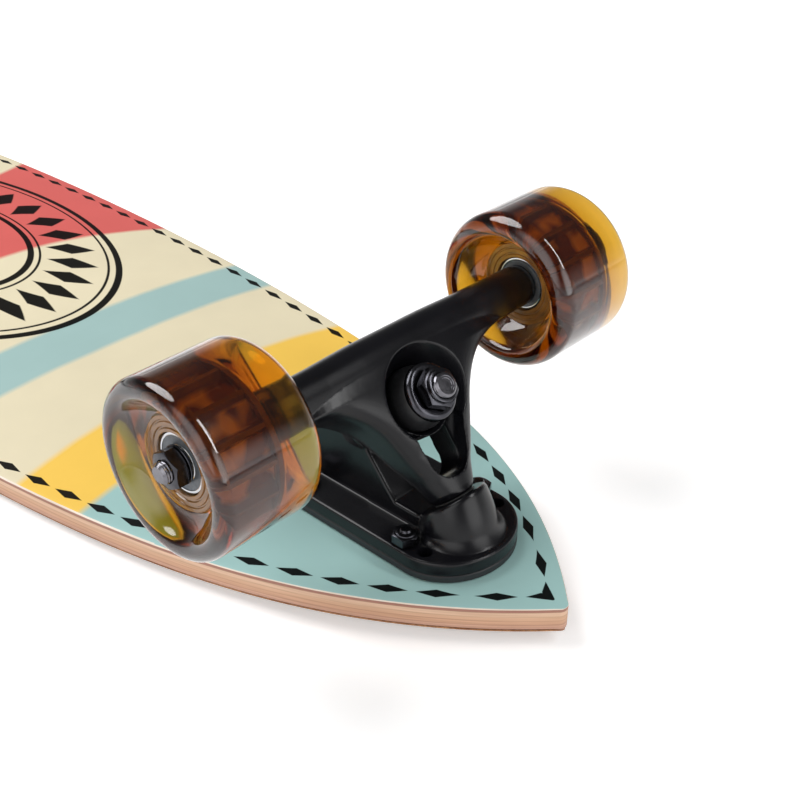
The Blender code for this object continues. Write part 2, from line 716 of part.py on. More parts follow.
def yoke_mesh():
    """The triangular yoke and its pivot pin, lofted from the axle to the pin's tip."""
    beam_low, beam_high = RAKE - BEAM_RADIUS, RAKE + BEAM_MIDDLE_RADIUS
    start = -AXLE_TO_KINGPIN + GAP
    rings = []
    for share in (0, 0.13, 0.21, 0.3, 0.42, 0.57, 0.77, 1):
        x = start + share * (YOKE_END - start)
        blend = min(1, share / 0.3)
        fade = blend * blend * (3 - 2 * blend)
        low = beam_low + YOKE_SINK - (YOKE_END_RADIUS + beam_low) * fade
        crown = YOKE_CROWN * math.sin(math.pi * min(1, 1.5 * share))
        high = beam_high - YOKE_SINK + (YOKE_END_RADIUS - beam_high) * share ** YOKE_SLOPE + crown
        edge = 2.3 + 2.7 * math.sin(math.pi * min(1, share * 1.15))
        rings.append(section(yoke_half_width(x), low, high, edge, x, MEDIUM_FACETS))
    shoulder = YOKE_END_RADIUS - YOKE_SINK
    for radius, x in ((shoulder, PIN_START), (PIN_RADIUS, PIN_START),
                      (PIN_RADIUS, PIN_END - PIN_TIP_LENGTH), (PIN_TIP_RADIUS, PIN_END)):
        rings.append(section(radius, -radius, radius, 2, x, MEDIUM_FACETS))
    return lofted(rings)


def beam_mesh():
    """The beam that carries the axle."""
    half = HANGER_WIDTH / 2
    outer = [(BEAM_MIDDLE_RADIUS, BEAM_HALF_MIDDLE), (BEAM_RADIUS, BEAM_STRAIGHT),
             (BEAM_END_RADIUS, half - BEAM_CHAMFER), (BEAM_END_RADIUS - BEAM_CHAMFER, half)]
    profile = [(radius, -place) for radius, place in reversed(outer)] + outer
    place = Matrix.Translation((-AXLE_TO_KINGPIN, 0, RAKE))
    return moved(turned(profile, MEDIUM_FACETS), place @ about_y())


def ring_cutter():
    """Seats for both bushings, the bore between them and the flared pocket above."""
    flare_top = RAKE + BEAM_MIDDLE_RADIUS
    profile = [(BUSHING_SEAT_RADIUS + BUSHING_SEAT_CLEARANCE, -flare_top), (BUSHING_SEAT_RADIUS, -RING_TOP),
               (RING_BORE_RADIUS, -RING_TOP), (RING_BORE_RADIUS, RING_TOP),
               (BUSHING_SEAT_RADIUS, RING_TOP), (BUSHING_SEAT_RADIUS, SEAT_LIP)]
    rings = [circle(radius, height, MEDIUM_FACETS) for radius, height in profile]
    shift = Vector((POCKET_SHIFT, 0, 0))
    for height in (flare_top, flare_top + 2 * YOKE_CROWN):
        rings.append([point + shift for point in circle(POCKET_RADIUS, height, MEDIUM_FACETS)])
    return lofted(rings)


def window_outline(half, end_round, end, level):
    """From the ring's wall along both legs to a round end."""
    wall = BUSHING_SEAT_RADIUS + RING_WALL
    spread = math.asin(half / wall)
    ring_steps, end_steps = 3, 5
    outline = []
    for i in range(ring_steps + 1):
        angle = spread - 2 * spread * i / ring_steps
        outline.append((wall * math.cos(angle), wall * math.sin(angle)))
    for i in range(end_steps + 1):
        angle = math.radians(-90 + 180 * i / end_steps)
        outline.append((end - end_round + end_round * math.cos(angle),
                        end_round * math.sin(angle)))
    return [Vector((x, y, level)) for x, y in outline]


def window_cutter():
    """The opening between the yoke's legs, with a flared mouth."""
    hole = (WINDOW_HALF_WIDTH, WINDOW_ROUND, WINDOW_END)
    mouth = (RECESS_HALF_WIDTH, RECESS_ROUND, RECESS_END)
    through = 2 * BEAM_RADIUS + RAKE
    return lofted([window_outline(*hole, -through), window_outline(*hole, RECESS_FLOOR),
                   window_outline(*mouth, RECESS_FLOOR + RECESS_DEPTH),
                   window_outline(*mouth, through)])


def axle_bore_cutter():
    profile = [(AXLE_BORE_RADIUS, -HANGER_WIDTH), (AXLE_BORE_RADIUS, HANGER_WIDTH)]
    place = Matrix.Translation((-AXLE_TO_KINGPIN, 0, RAKE))
    return moved(turned(profile, HEX_FACETS), place @ about_y())


def hanger_mesh():
    return combined(beam_mesh(), [yoke_mesh()], [ring_cutter(), window_cutter(), axle_bore_cutter()])


def axle_mesh():
    chamfer = AXLE_CHAMFER
    half = AXLE_LENGTH / 2
    profile = [(AXLE_RADIUS - chamfer, -half), (AXLE_RADIUS, chamfer - half),
               (AXLE_RADIUS, half - chamfer), (AXLE_RADIUS - chamfer, half)]
    place = Matrix.Translation((-AXLE_TO_KINGPIN, 0, RAKE))
    return moved(turned(profile, HEX_FACETS), place @ about_y())


# Wheel and what is on its axle end, about Z with the wheel's inner face at zero

def tyre_mesh():
    """The cast tyre: dished faces, rounded lips and a straight bore round the core."""
    opening = CORE_RING_RADIUS + 1.5 * GAP
    profile = [(opening, CORE_START), (INNER_DISH_RADIUS, DISH_DROP)]
    for i in range(3):
        angle = math.radians(90 * i / 2)
        profile.append((WHEEL_RADIUS - INNER_LIP_ROUND * (1 - math.sin(angle)),
                        INNER_LIP_ROUND * (1 - math.cos(angle))))
    for i in range(3):
        angle = math.radians(90 * i / 2)
        profile.append((WHEEL_RADIUS - OUTER_LIP_ROUND * (1 - math.cos(angle)),
                        WHEEL_WIDTH - OUTER_LIP_ROUND * (1 - math.sin(angle))))
    profile += [(OUTER_DISH_RADIUS, WHEEL_WIDTH - DISH_DROP), (opening, CORE_END)]
    return turned(profile, ROUND_FACETS, hollow=True)


def core_mesh():
    """The wheel's core: two rings, fins between them, and a shoulder between the bearings."""
    seat = BEARING_RADIUS + GAP
    shoulder_start = BEARING_START + BEARING_WIDTH + GAP - WHEEL_INNER_FACE
    shoulder_end = shoulder_start + BEARING_SPREAD - 2 * GAP
    fins_start, fins_end = CORE_START + CORE_RING_WIDTH, CORE_END - CORE_RING_WIDTH
    rings = [circle(seat, CORE_START, SMALL_FACETS), circle(CORE_RING_RADIUS, CORE_START, SMALL_FACETS),
             circle(CORE_RING_RADIUS, fins_start, SMALL_FACETS), fin_ring(fins_start),
             fin_ring(fins_end), circle(CORE_RING_RADIUS, fins_end, SMALL_FACETS),
             circle(CORE_RING_RADIUS, CORE_END, SMALL_FACETS)]
    rings += [circle(radius, height, SMALL_FACETS) for radius, height in
              ((seat, CORE_END), (seat, shoulder_end), (CORE_SHOULDER_RADIUS, shoulder_end),
               (CORE_SHOULDER_RADIUS, shoulder_start), (seat, shoulder_start))]
    return lofted(rings, hollow=True)


def fin_ring(height):
    """A star: the core's fins key the tyre to it."""
    points = circle(CORE_FIN_RADIUS, height, SMALL_FACETS)
    for hollow in points[::2]:
        hollow.xy *= CORE_WAIST_RADIUS / CORE_FIN_RADIUS
    return points


def bearing_mesh():
    """A ball bearing whose shield is set in from the outer race's open face."""
    rim = BEARING_RADIUS - BEARING_RACE_RIM
    shield = BEARING_WIDTH - BEARING_SHIELD_DEPTH
    profile = [(AXLE_BORE_RADIUS, 0), (BEARING_RADIUS, 0), (BEARING_RADIUS, BEARING_WIDTH),
               (rim, BEARING_WIDTH), (rim, shield), (AXLE_BORE_RADIUS, shield)]
    return turned(profile, HEX_FACETS, hollow=True)


def sleeve_mesh(radius, length):
    """A plain ring on the axle."""
    profile = [(AXLE_BORE_RADIUS, 0), (radius, 0), (radius, length), (AXLE_BORE_RADIUS, length)]
    return turned(profile, HEX_FACETS, hollow=True)


def axle_nut_mesh():
    rings = [circle(AXLE_BORE_RADIUS, 0, HEX_FACETS), hexagon(AXLE_NUT_FLATS, 0),
             hexagon(AXLE_NUT_FLATS, AXLE_NUT_HEIGHT),
             circle(AXLE_BORE_RADIUS, AXLE_NUT_HEIGHT, HEX_FACETS)]
    return lofted(rings, hollow=True)


# Assembly

def shared_meshes():
    """One mesh for each repeated piece."""
    spacer_length = BEARING_SPREAD - 2 * GAP
    return {"riser": riser_mesh(), "baseplate": baseplate_mesh(), "bolt": bolt_mesh(),
            "kingpin": kingpin_mesh(), "kingpin_nut": kingpin_nut_mesh(),
            "boardside_bushing": bushing_mesh(-1), "roadside_bushing": bushing_mesh(1),
            "boardside_washer": flat_washer_mesh(), "roadside_washer": cup_washer_mesh(),
            "pivot_cup": pivot_cup_mesh(), "hanger": hanger_mesh(), "axle": axle_mesh(),
            "tyre": tyre_mesh(), "core": core_mesh(), "bearing": bearing_mesh(),
            "spacer": sleeve_mesh(SPACER_RADIUS, spacer_length),
            "speed_washer": sleeve_mesh(SPEED_WASHER_RADIUS, SPEED_WASHER_THICKNESS),
            "axle_nut": axle_nut_mesh()}


def finishes():
    """One material for each kind of piece."""
    black_paint = finish("black_paint", (0.012, 0.012, 0.014), 0.42)
    steel = finish("bright_steel", (0.55, 0.55, 0.56), 0.25, 1.0)
    dark_steel = finish("dark_steel", (0.08, 0.08, 0.085), 0.35, 1.0)
    black_urethane = finish("black_urethane", (0.02, 0.02, 0.02), 0.5)
    return {"riser": finish("riser_plastic", (0.015, 0.015, 0.015), 0.6),
            "baseplate": black_paint, "hanger": black_paint, "bolt": dark_steel,
            "kingpin": steel, "kingpin_nut": steel, "axle": dark_steel,
            "boardside_bushing": black_urethane, "roadside_bushing": black_urethane,
            "boardside_washer": steel, "roadside_washer": steel,
            "pivot_cup": finish("cup_urethane", (0.03, 0.03, 0.03), 0.45),
            "tyre": finish("amber_urethane", (0.30, 0.12, 0.03), 0.15),
            "core": finish("core_plastic", (0.22, 0.09, 0.02), 0.35),
            "bearing": steel, "spacer": steel, "speed_washer": steel, "axle_nut": dark_steel}


def make_wheel(prefix, hub, meshes, looks):
    """One wheel with its bearings, and the spacer, washer and nut on its axle end."""
    second = BEARING_START + BEARING_WIDTH + BEARING_SPREAD
    places = {"tyre": ("tyre", WHEEL_INNER_FACE), "core": ("core", WHEEL_INNER_FACE),
              "inner_bearing": ("bearing", BEARING_START), "outer_bearing": ("bearing", second),
              "spacer": ("spacer", BEARING_START + BEARING_WIDTH + GAP),
              "speed_washer": ("speed_washer", SPEED_WASHER_START),
              "axle_nut": ("axle_nut", AXLE_NUT_START)}
    for name, (kind, place) in places.items():
        made = piece(f"{prefix}_{name}", meshes[kind], looks[kind], hub)
        made.location = (0, 0, place)
        if name == "inner_bearing":
            made.location.z += BEARING_WIDTH
            made.rotation_euler.x = math.pi
        elif name == "axle_nut":
            made.rotation_euler.z = math.radians(30)


def make_truck(end, truck_x, facing, meshes, looks):
    """A truck with its bolts and its two wheels."""
    turn = 0 if facing > 0 else math.pi
    mount = frame(f"{end}_truck", None, (truck_x, 0, DECK_SEAT), (0, 0, turn))
    for name in ("riser", "baseplate"):
        piece(f"{end}_{name}", meshes[name], looks[name], mount)
    for number, (along, across) in enumerate(bolt_places(), start=1):
        bolt = piece(f"{end}_bolt_{number}", meshes["bolt"], looks["bolt"], mount)
        bolt.location = (along, across, 0)
    lean = (0, math.radians(KINGPIN_ANGLE), 0)
    stack = frame(f"{end}_kingpin_line", mount, ring_centre(), lean)
    for name in ("kingpin", "kingpin_nut", "boardside_bushing", "roadside_bushing",
                 "boardside_washer", "roadside_washer", "pivot_cup"):
        piece(f"{end}_{name}", meshes[name], looks[name], stack)
    steer = frame(f"{end}_steer", mount, ring_centre(), lean)
    for name in ("hanger", "axle"):
        piece(f"{end}_{name}", meshes[name], looks[name], steer)
    for side, outward in (("left", facing), ("right", -facing)):
        place = (-AXLE_TO_KINGPIN, 0, RAKE)
        upright = (math.radians(-90 * outward), -math.radians(KINGPIN_ANGLE), 0)
        hub = frame(f"{end}_{side}_hub", steer, place, upright)
        make_wheel(f"{end}_{side}", hub, meshes, looks)


def build():
    clear_scene()
    make_deck()
    make_grip()
    meshes = shared_meshes()
    looks = finishes()
    for end, (truck_x, facing) in truck_places().items():
        make_truck(end, truck_x, facing, meshes, looks)


build()
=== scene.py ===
"""Looks for the longboard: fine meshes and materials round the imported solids.

Units are metres. A truck's frame has its origin on the deck in the middle of its bolts, with +X
toward the nearer tip. A hanger's frame has its origin in the middle of the kingpin's ring, with
+X along the pivot axis and +Z along the kingpin. A wheel's frame has +Z outward along the axle.
"""

import json
import math

import bmesh
import bpy
import numpy as np
from mathutils import Matrix, Vector

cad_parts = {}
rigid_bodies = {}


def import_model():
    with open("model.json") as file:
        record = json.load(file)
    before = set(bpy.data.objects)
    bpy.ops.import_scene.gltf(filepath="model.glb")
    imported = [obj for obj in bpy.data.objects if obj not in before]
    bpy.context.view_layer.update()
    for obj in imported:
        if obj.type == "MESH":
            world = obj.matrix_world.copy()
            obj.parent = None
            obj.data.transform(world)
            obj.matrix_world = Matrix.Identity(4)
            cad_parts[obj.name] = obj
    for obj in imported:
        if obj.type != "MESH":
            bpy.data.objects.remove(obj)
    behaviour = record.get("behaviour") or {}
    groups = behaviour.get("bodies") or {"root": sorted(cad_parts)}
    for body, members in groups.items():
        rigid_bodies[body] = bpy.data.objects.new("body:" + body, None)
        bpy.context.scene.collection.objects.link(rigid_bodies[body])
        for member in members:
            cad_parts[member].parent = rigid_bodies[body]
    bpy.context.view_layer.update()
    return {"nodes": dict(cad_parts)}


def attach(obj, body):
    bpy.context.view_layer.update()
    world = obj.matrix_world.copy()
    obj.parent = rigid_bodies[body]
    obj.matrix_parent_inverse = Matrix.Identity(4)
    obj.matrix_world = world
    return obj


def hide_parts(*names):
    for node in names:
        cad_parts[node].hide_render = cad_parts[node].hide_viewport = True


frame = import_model()
NODES = frame["nodes"]

MM = 0.001
NOSE_TIP = 470 * MM
WIDEST_X = 30 * MM
HALF_WIDTH = 110 * MM
TIP_HALF_WIDTH = 1.5 * MM
NOSE_SLIMNESS = 0.53
TAIL_SLIMNESS = 0.75
TIP_POWER = 7
CONCAVE_DEPTH = 5.2 * MM
FLAT_HALF_WIDTH = 27 * MM
GRIP_THICKNESS = 0.6 * MM
GAP = 0.3 * MM
DECK_THICKNESS = 10 * MM
DECK_LOW = CONCAVE_DEPTH + GRIP_THICKNESS + GAP
DECK_SEAT = DECK_LOW + DECK_THICKNESS
TRUCKS = {"front": (383.9 * MM, 1), "rear": (-340 * MM, -1)}
BOLT_X, LONG_BOLT_X, BOLT_Y = 26.99 * MM, 36.51 * MM, 20.65 * MM
BOLTS = [(along * BOLT_X, across * BOLT_Y) for along in (1, -1) for across in (1, -1)]
KINGPIN_ANGLE = math.radians(50)
AXLE_HEIGHT = 70.7 * MM
AXLE_TO_KINGPIN = 19.3 * MM
RAKE = 7 * MM
RISER_TOP = 3.3 * MM
FLANGE_LOW = 3.6 * MM
FLANGE_TOP = 9.2 * MM
PLATE_STRAIGHT = 32 * MM    # middle of the bolts to where an end starts to round
PLATE_END = 23.3 * MM
PLATE_HALF_WIDTH = 26.6 * MM
CASTING_FOOT = 8.3 * MM     # where the housing and the boss start, inside the flange
HOUSING_FACE = -18.9 * MM
SEAT_RADIUS = 14.6 * MM
YOKE_END = 36.7 * MM
YOKE_END_RADIUS = 8.3 * MM
YOKE_END_HALF_WIDTH = 9.8 * MM
BEAM_MIDDLE_RADIUS = 9.6 * MM
YOKE_TAPER = 0.418
YOKE_FILLET = 36 * MM
BEAM_RADIUS = 8.9 * MM
PIN_START = 38.9 * MM
HUB_FACE = 62.6 * MM
CORE_LOW = 12.3 * MM
CORE_HIGH = 36.1 * MM
BEARING_WIDTH = 7 * MM

# These and the profiles below are in millimetres
BOLT_RADIUS = 2.4
BOLT_SINK = 0.5             # head's face below the deck's
BOLT_CONE = 2.4             # height of the head's cone
BOLT_NUT_HEIGHT = 4.2
BOLT_END = 1.6              # thread past the nut
KINGPIN_RADIUS = 4.76
KINGPIN_BORE = 5.06
KINGPIN_HEAD = 25           # housing's face to the seat of the head
KINGPIN_THREAD = 15         # where the thread starts
KINGPIN_END = 26.6
BUSHING_START = 3.8
BUSHING_END = 16.5
BUSHING_RADIUS = 12.3
WASHER_START = 16.8
RING_TOP = 3.5
RING_BORE = 7
RING_SEAT = 12.8            # radius of the bushings' seats
RING_LIP = 6
AXLE_RADIUS = 3.97
AXLE_BORE = 4.27
AXLE_END = 107.0
AXLE_THREAD = 96            # where each thread starts
BEARING_RADIUS = 11


# Mesh helpers

SHARP = 35      # degrees between faces that don't shade smoothly into each other


def shares(count):
    """From 0 to 1 in equal steps."""
    return [i / count for i in range(count + 1)]


def circle(radii, height):
    """Points round Z at this height, one for each radius, in millimetres."""
    turn = 2 * math.pi / len(radii)
    return [Vector((radius * MM * math.cos(turn * i), radius * MM * math.sin(turn * i),
                    height * MM)) for i, radius in enumerate(radii)]


def section(half, low, high, exponent, x, facets):
    """Points of a rounded rectangle in a YZ plane."""
    points = []
    for i in range(facets):
        angle = 2 * math.pi * i / facets
        across, up = math.cos(angle), math.sin(angle)
        size = (abs(across) ** exponent + abs(up) ** exponent) ** (-1 / exponent)
        points.append(Vector((x, half * across * size,
                              (low + high) / 2 + (high - low) / 2 * up * size)))
    return points


def rings_of(profile, facets):
    """Circles about Z at (radius, height) pairs in millimetres."""
    return [circle([radius] * facets, height) for radius, height in profile]


def eased(share):
    """A smooth step from 0 to 1."""
    share = min(1, max(0, share))
    return share * share * (3 - 2 * share)


def lofted(rings, hollow=False, sharp=SHARP):
    """A closed mesh through rings of equal point counts, back to the first if hollow."""
    body = bmesh.new()
    loops = [[body.verts.new(point) for point in ring] for ring in rings]
    pairs = list(zip(loops, loops[1:]))
    if hollow:
        pairs.append((loops[-1], loops[0]))
    else:
        body.faces.new(loops[0])
        body.faces.new(loops[-1])
    for first, second in pairs:
        for i, corner in enumerate(first):
            body.faces.new((first[i - 1], corner, second[i], second[i - 1]))
    bmesh.ops.recalc_face_normals(body, faces=body.faces)
    mesh = bpy.data.meshes.new("shape")
    body.to_mesh(mesh)
    body.free()
    mesh.shade_smooth()
    mesh.set_sharp_from_angle(angle=math.radians(sharp))
    return mesh


def turned(profile, facets=96, hollow=False, sharp=SHARP):
    """A mesh turned about Z from (radius, height) pairs in millimetres."""
    return lofted(rings_of(profile, facets), hollow, sharp)


def arc(x, y, radius, start, end, steps, tall=None):
    """Points on an arc round a centre, angles in degrees. Tall is its other radius, if any."""
    turns = [math.radians(start + (end - start) * share) for share in shares(steps)]
    return [(x + radius * math.cos(turn), y + (tall or radius) * math.sin(turn))
            for turn in turns]


def moved(mesh, placement):
    mesh.transform(placement)
    return mesh


def evaluated(base, modifiers):
    """The base mesh after a list of (type, settings) modifiers."""
    target = bpy.data.objects.new("work", base)
    bpy.context.scene.collection.objects.link(target)
    for kind, settings in modifiers:
        modifier = target.modifiers.new(kind, kind)
        for key, value in settings.items():
            setattr(modifier, key, value)
    bpy.context.view_layer.update()
    solved = target.evaluated_get(bpy.context.evaluated_depsgraph_get())
    result = bpy.data.meshes.new_from_object(solved)
    bpy.data.objects.remove(target, do_unlink=True)
    return result


def combined(base, joins=(), cuts=(), common=()):
    """Boolean of meshes, by the exact solver."""
    helpers, modifiers = [], []
    for operation, meshes in (("UNION", joins), ("DIFFERENCE", cuts), ("INTERSECT", common)):
        for mesh in meshes:
            helper = bpy.data.objects.new("cutter", mesh)
            bpy.context.scene.collection.objects.link(helper)
            helpers.append(helper)
            modifiers.append(("BOOLEAN", {"operation": operation, "object": helper}))
    result = evaluated(base, modifiers)
    for helper in helpers:
        bpy.data.objects.remove(helper, do_unlink=True)
    result.shade_smooth()
    result.set_sharp_from_angle(angle=math.radians(SHARP))
    return result


def cast(mesh):
    """Softens every edge and inner corner of a mesh, as in a painted casting."""
    result = evaluated(mesh, [("REMESH", {"mode": "VOXEL", "voxel_size": 0.42 * MM}),
                              ("SMOOTH", {"factor": 0.5, "iterations": 6}),
                              ("DECIMATE", {"ratio": 0.35})])
    result.shade_smooth()
    return result


def about_x():
    """Lays what stands along Z along X."""
    return Matrix.Rotation(math.radians(90), 4, "Y")


def about_y():
    """Lays what stands along Z along Y."""
    return Matrix.Rotation(math.radians(-90), 4, "X")


def truck_frame(end):
    x, facing = TRUCKS[end]
    turn = Matrix.Rotation(0 if facing > 0 else math.pi, 4, "Z")
    return Matrix.Translation((x, 0, DECK_SEAT)) @ turn


def ring_centre():
    to_pivot = Vector((math.cos(KINGPIN_ANGLE), 0, -math.sin(KINGPIN_ANGLE)))
    to_nut = Vector((math.sin(KINGPIN_ANGLE), 0, math.cos(KINGPIN_ANGLE)))
    return Vector((0, 0, AXLE_HEIGHT)) + AXLE_TO_KINGPIN * to_pivot - RAKE * to_nut


def kingpin_frame():
    return Matrix.Translation(ring_centre()) @ Matrix.Rotation(KINGPIN_ANGLE, 4, "Y")


def hub_frame(side, facing):
    """A wheel's frame in its truck's frame."""
    outward = facing if side == "left" else -facing
    turn = Matrix.Rotation(math.radians(-90 * outward), 4, "X")
    return Matrix.Translation((0, 0, AXLE_HEIGHT)) @ turn


def place(node, mesh, where, material=None):
    """A fine piece in its CAD node's place. A mesh that has materials keeps them."""
    piece = bpy.data.objects.new(node + ".fine", mesh)
    bpy.context.scene.collection.objects.link(piece)
    piece.matrix_world = where
    if not mesh.materials:
        mesh.materials.append(material)
    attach(piece, NODES[node].parent.name.split(":")[-1])
    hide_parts(node)


# Material helpers

class Graph:
    """Small helpers for a node tree."""

    def __init__(self, tree):
        self.tree = tree

    def node(self, kind, inputs=None, **settings):
        made = self.tree.nodes.new("ShaderNode" + kind)
        for key, value in settings.items():
            setattr(made, key, value)
        for key, value in (inputs or {}).items():
            self.feed(made, key, value)
        return made

    def feed(self, node, key, value):
        socket = node.inputs[key]
        if isinstance(value, bpy.types.NodeSocket):
            self.tree.links.new(value, socket)
        else:
            socket.default_value = (*value, 1) if socket.type == "RGBA" else value

    def math(self, operation, first, second=0.0, third=0.0):
        return self.node("Math", {0: first, 1: second, 2: third}, operation=operation).outputs[0]

    def ramp(self, value, low, high, start=0.0, end=1.0, kind="LINEAR"):
        """The start value below low and the end value above high."""
        ends = {"From Min": low, "From Max": high, "To Min": start, "To Max": end}
        return self.node("MapRange", {"Value": value, **ends}, interpolation_type=kind).outputs[0]

    def length(self, vector):
        return self.node("VectorMath", {0: vector}, operation="LENGTH").outputs["Value"]

    def position(self):
        return self.node("TexCoord").outputs["Object"]

    def attribute(self, name):
        return self.node("Attribute", attribute_name=name).outputs["Fac"]

    def seen(self):
        """1 for what the camera sees, straight on or in a shiny or clear piece."""
        path = self.node("LightPath").outputs
        shown = self.math("MAXIMUM", path["Is Camera Ray"], path["Is Glossy Ray"])
        return self.math("MAXIMUM", shown, path["Is Transmission Ray"])

    def mix(self, share, first, second, kind="MIX"):
        """Two colours mixed: the node's sockets 6 and 7, and its output 2."""
        return self.node("Mix", {0: share, 6: first, 7: second}, data_type="RGBA",
                         blend_type=kind).outputs[2]

    def noise(self, scale, detail, stretch=(1, 1, 1), roughness=0.5):
        spread = self.node("Mapping", {"Vector": self.position(), "Scale": Vector(stretch)})
        made = self.node("TexNoise", {"Vector": spread.outputs[0], "Scale": scale,
                                      "Detail": detail, "Roughness": roughness})
        return made.outputs["Fac"]


class Shader(Graph):
    """A Principled material."""

    def __init__(self, name, **values):
        self.name = name
        self.material = bpy.data.materials.new(name)
        self.material.use_nodes = True
        super().__init__(self.material.node_tree)
        self.bsdf = self.tree.nodes["Principled BSDF"]
        for key, value in values.items():
            self.bsdf.inputs[key.replace("_", " ")].default_value = value

    def bump(self, height, distance, strength=1.0):
        made = self.node("Bump", {"Height": height, "Distance": distance, "Strength": strength})
        self.feed(self.bsdf, "Normal", made.outputs[0])

    def set(self, key, value):
        self.feed(self.bsdf, key, value)


def srgb(red, green, blue):
    """Linear colour from the 0 to 255 values seen on a screen."""
    return tuple((c / 255 / 12.92) if c < 11 else ((c / 255 + 0.055) / 1.055) ** 2.4
                 for c in (red, green, blue))


# Materials

def grained(name, dark, light, grain, bump, rough=None, **values):
    """A finish whose colour, and roughness where given, vary with a grain: scale and detail."""
    look = Shader(name, **values)
    level = look.noise(*grain)
    look.set("Base Color", look.mix(level, dark, light))
    if rough:
        look.set("Roughness", look.math("MULTIPLY_ADD", level, rough[1] - rough[0], rough[0]))
    look.bump(look.noise(*bump[:2]), bump[2])
    return look


def metal(name, dark, light, rough):
    return grained(name, dark, light, (300, 4), (600, 2, 0.00001), rough, Metallic=1.0)


def rubber(name, dark, light, roughness):
    return grained(name, dark, light, (400, 4), (1500, 3, 0.00002), Roughness=roughness)


def urethane():
    """Clear amber urethane: its colour deepens with its thickness."""
    look = grained("amber_urethane", (1, 0.72, 0.32), (0.97, 0.66, 0.27), (90, 2),
                   (70, 2, 0.00003), Transmission_Weight=1.0, IOR=1.49, Roughness=0.08,
                   Specular_IOR_Level=0.1, Coat_Weight=1.0, Coat_Roughness=0.02, Coat_IOR=1.4)
    absorb = look.node("VolumeAbsorption", {"Color": (0.862, 0.74, 0.0), "Density": 210.0})
    look.feed(look.tree.nodes["Material Output"], "Volume", absorb.outputs[0])
    return look


def core_plastic():
    """Amber plastic: shiny rings on both faces, dark fins, windows painted as light through them.
    """
    look = Shader("core_plastic", Roughness=0.1, Specular_IOR_Level=0.9)
    parts = look.node("SeparateXYZ", {0: look.position()})
    flat = look.node("CombineXYZ", {"X": parts.outputs["X"], "Y": parts.outputs["Y"]})
    radius = look.length(flat.outputs[0])
    middle = (CORE_LOW + CORE_HIGH) / 2
    off = look.math("ABSOLUTE", look.math("SUBTRACT", parts.outputs["Z"], middle))
    inside = look.ramp(off, 9.8 * MM, 9.4 * MM)
    window = look.math("MULTIPLY", inside, look.ramp(radius, 15.0 * MM, 13.8 * MM))
    face = look.ramp(off, 11.0 * MM, 11.6 * MM)
    grain = look.noise(150, 3)
    amber = look.mix(grain, srgb(84, 56, 28), srgb(166, 114, 52))
    body = look.mix(face, srgb(132, 104, 74), amber)
    # Painted light: the windows' pale colour stands in for light shining through the wheel,
    # brighter in random patches
    window_glow_patches = look.ramp(look.noise(75, 1), 0.44, 0.53)
    painted_window_light = look.mix(window_glow_patches, srgb(140, 100, 60), srgb(255, 240, 168))
    look.set("Base Color", look.mix(window, body, painted_window_light))
    look.bump(look.noise(260, 2), 0.00006)
    return look


TEAL = srgb(162, 199, 196)
BLUE = srgb(164, 194, 191)
CREAM = srgb(230, 219, 188)
YELLOW = srgb(247, 203, 93)
RED = srgb(216, 103, 98)
INK = (0.0015, 0.0015, 0.0016)
# Band edges from the nose to the tail, at the board's middle line: where, curve and what follows
BANDS = [(286.9, 0.0010, YELLOW), (247.9, 0.0012, CREAM), (194.9, 0.0003, BLUE),
         (160.9, 0.0004, CREAM), (68.9, 0.0024, RED), (-28.9, -0.0024, CREAM),
         (-150.9, -0.0004, BLUE), (-184.9, -0.0003, CREAM), (-237.9, -0.0012, YELLOW),
         (-286.9, -0.0010, TEAL)]
# The row of diamonds along the rails, in millimetres
ROW_INSET = 6.9             # rail to the row's middle
ROW_PERIOD = 18.4
ROW_DIAMOND = (7.8, 2.1)    # half length and half width
ROW_START = 14              # the two rows meet in a mitre before it
ROW_MITRE = math.tan(math.radians(47))
ROW_SHIFT = 4.2             # how much closer the second diamond is to the corner
# The oval sun, in millimetres before it is stretched
SUN_X = 20.0
SUN_SCALE = (0.53, 0.92)
SUN_RAYS = 28
SUN_RAY_RADIUS = 57.0
SUN_RAY = (0.72, 10.0)      # half width as a share of the room for it, and half length
SUN_RINGS = ((40.5, 1.3), (44.2, 0.5), (71.0, 0.5), (75.0, 1.3))
# The rail's plies: depth as a share of the deck's thickness, and colour; the pale band to 0.03 is
# a painted highlight
PLIES_AND_EDGE_HIGHLIGHT = [(0.0, (238, 226, 212)), (0.03, (238, 226, 212)), (0.05, (166, 119, 102)),
         (0.15, (172, 123, 106)), (0.18, (230, 196, 168)), (0.33, (226, 190, 160)),
         (0.36, (206, 166, 138)), (0.40, (222, 182, 150)), (0.52, (217, 174, 142)),
         (0.55, (198, 152, 124)), (0.59, (214, 170, 138)), (0.71, (209, 163, 134)),
         (0.74, (190, 144, 120)), (0.78, (210, 166, 140)), (0.9, (204, 158, 136)),
         (0.94, (188, 144, 124)), (1.0, (198, 156, 138))]


def band_print(look):
    """Soft-edged bands of colour across the board, and X and Y in millimetres."""
    parts = look.node("SeparateXYZ", {0: look.position()})
    x = look.math("MULTIPLY", parts.outputs["X"], 1 / MM)
    y = look.math("MULTIPLY", parts.outputs["Y"], 1 / MM)
    y_squared = look.math("MULTIPLY", y, y)
    wave = look.math("MULTIPLY", look.noise(40, 2), 1.6)
    colour = TEAL
    for edge, curve, after in BANDS:
        line = look.math("MULTIPLY_ADD", y_squared, curve, edge)
        past = look.math("ADD", look.math("SUBTRACT", line, x), wave)
        colour = look.mix(look.ramp(past, -1.2, 2.8), colour, after)
    return colour, x, y


def diamonds(look, along, offset, period, long, wide, blur=0.06):
    """1 inside a row of diamonds: distances along the row and off it, in millimetres."""
    turns = look.math("ADD", look.math("DIVIDE", along, period), 0.5)
    local = look.math("MULTIPLY", look.math("SUBTRACT", look.math("FRACT", turns), 0.5), period)
    across = look.math("DIVIDE", look.math("ABSOLUTE", offset), wide)
    lengthways = look.math("DIVIDE", look.math("ABSOLUTE", local), long)
    return look.ramp(look.math("ADD", across, lengthways), 1 + blur, 1 - blur)


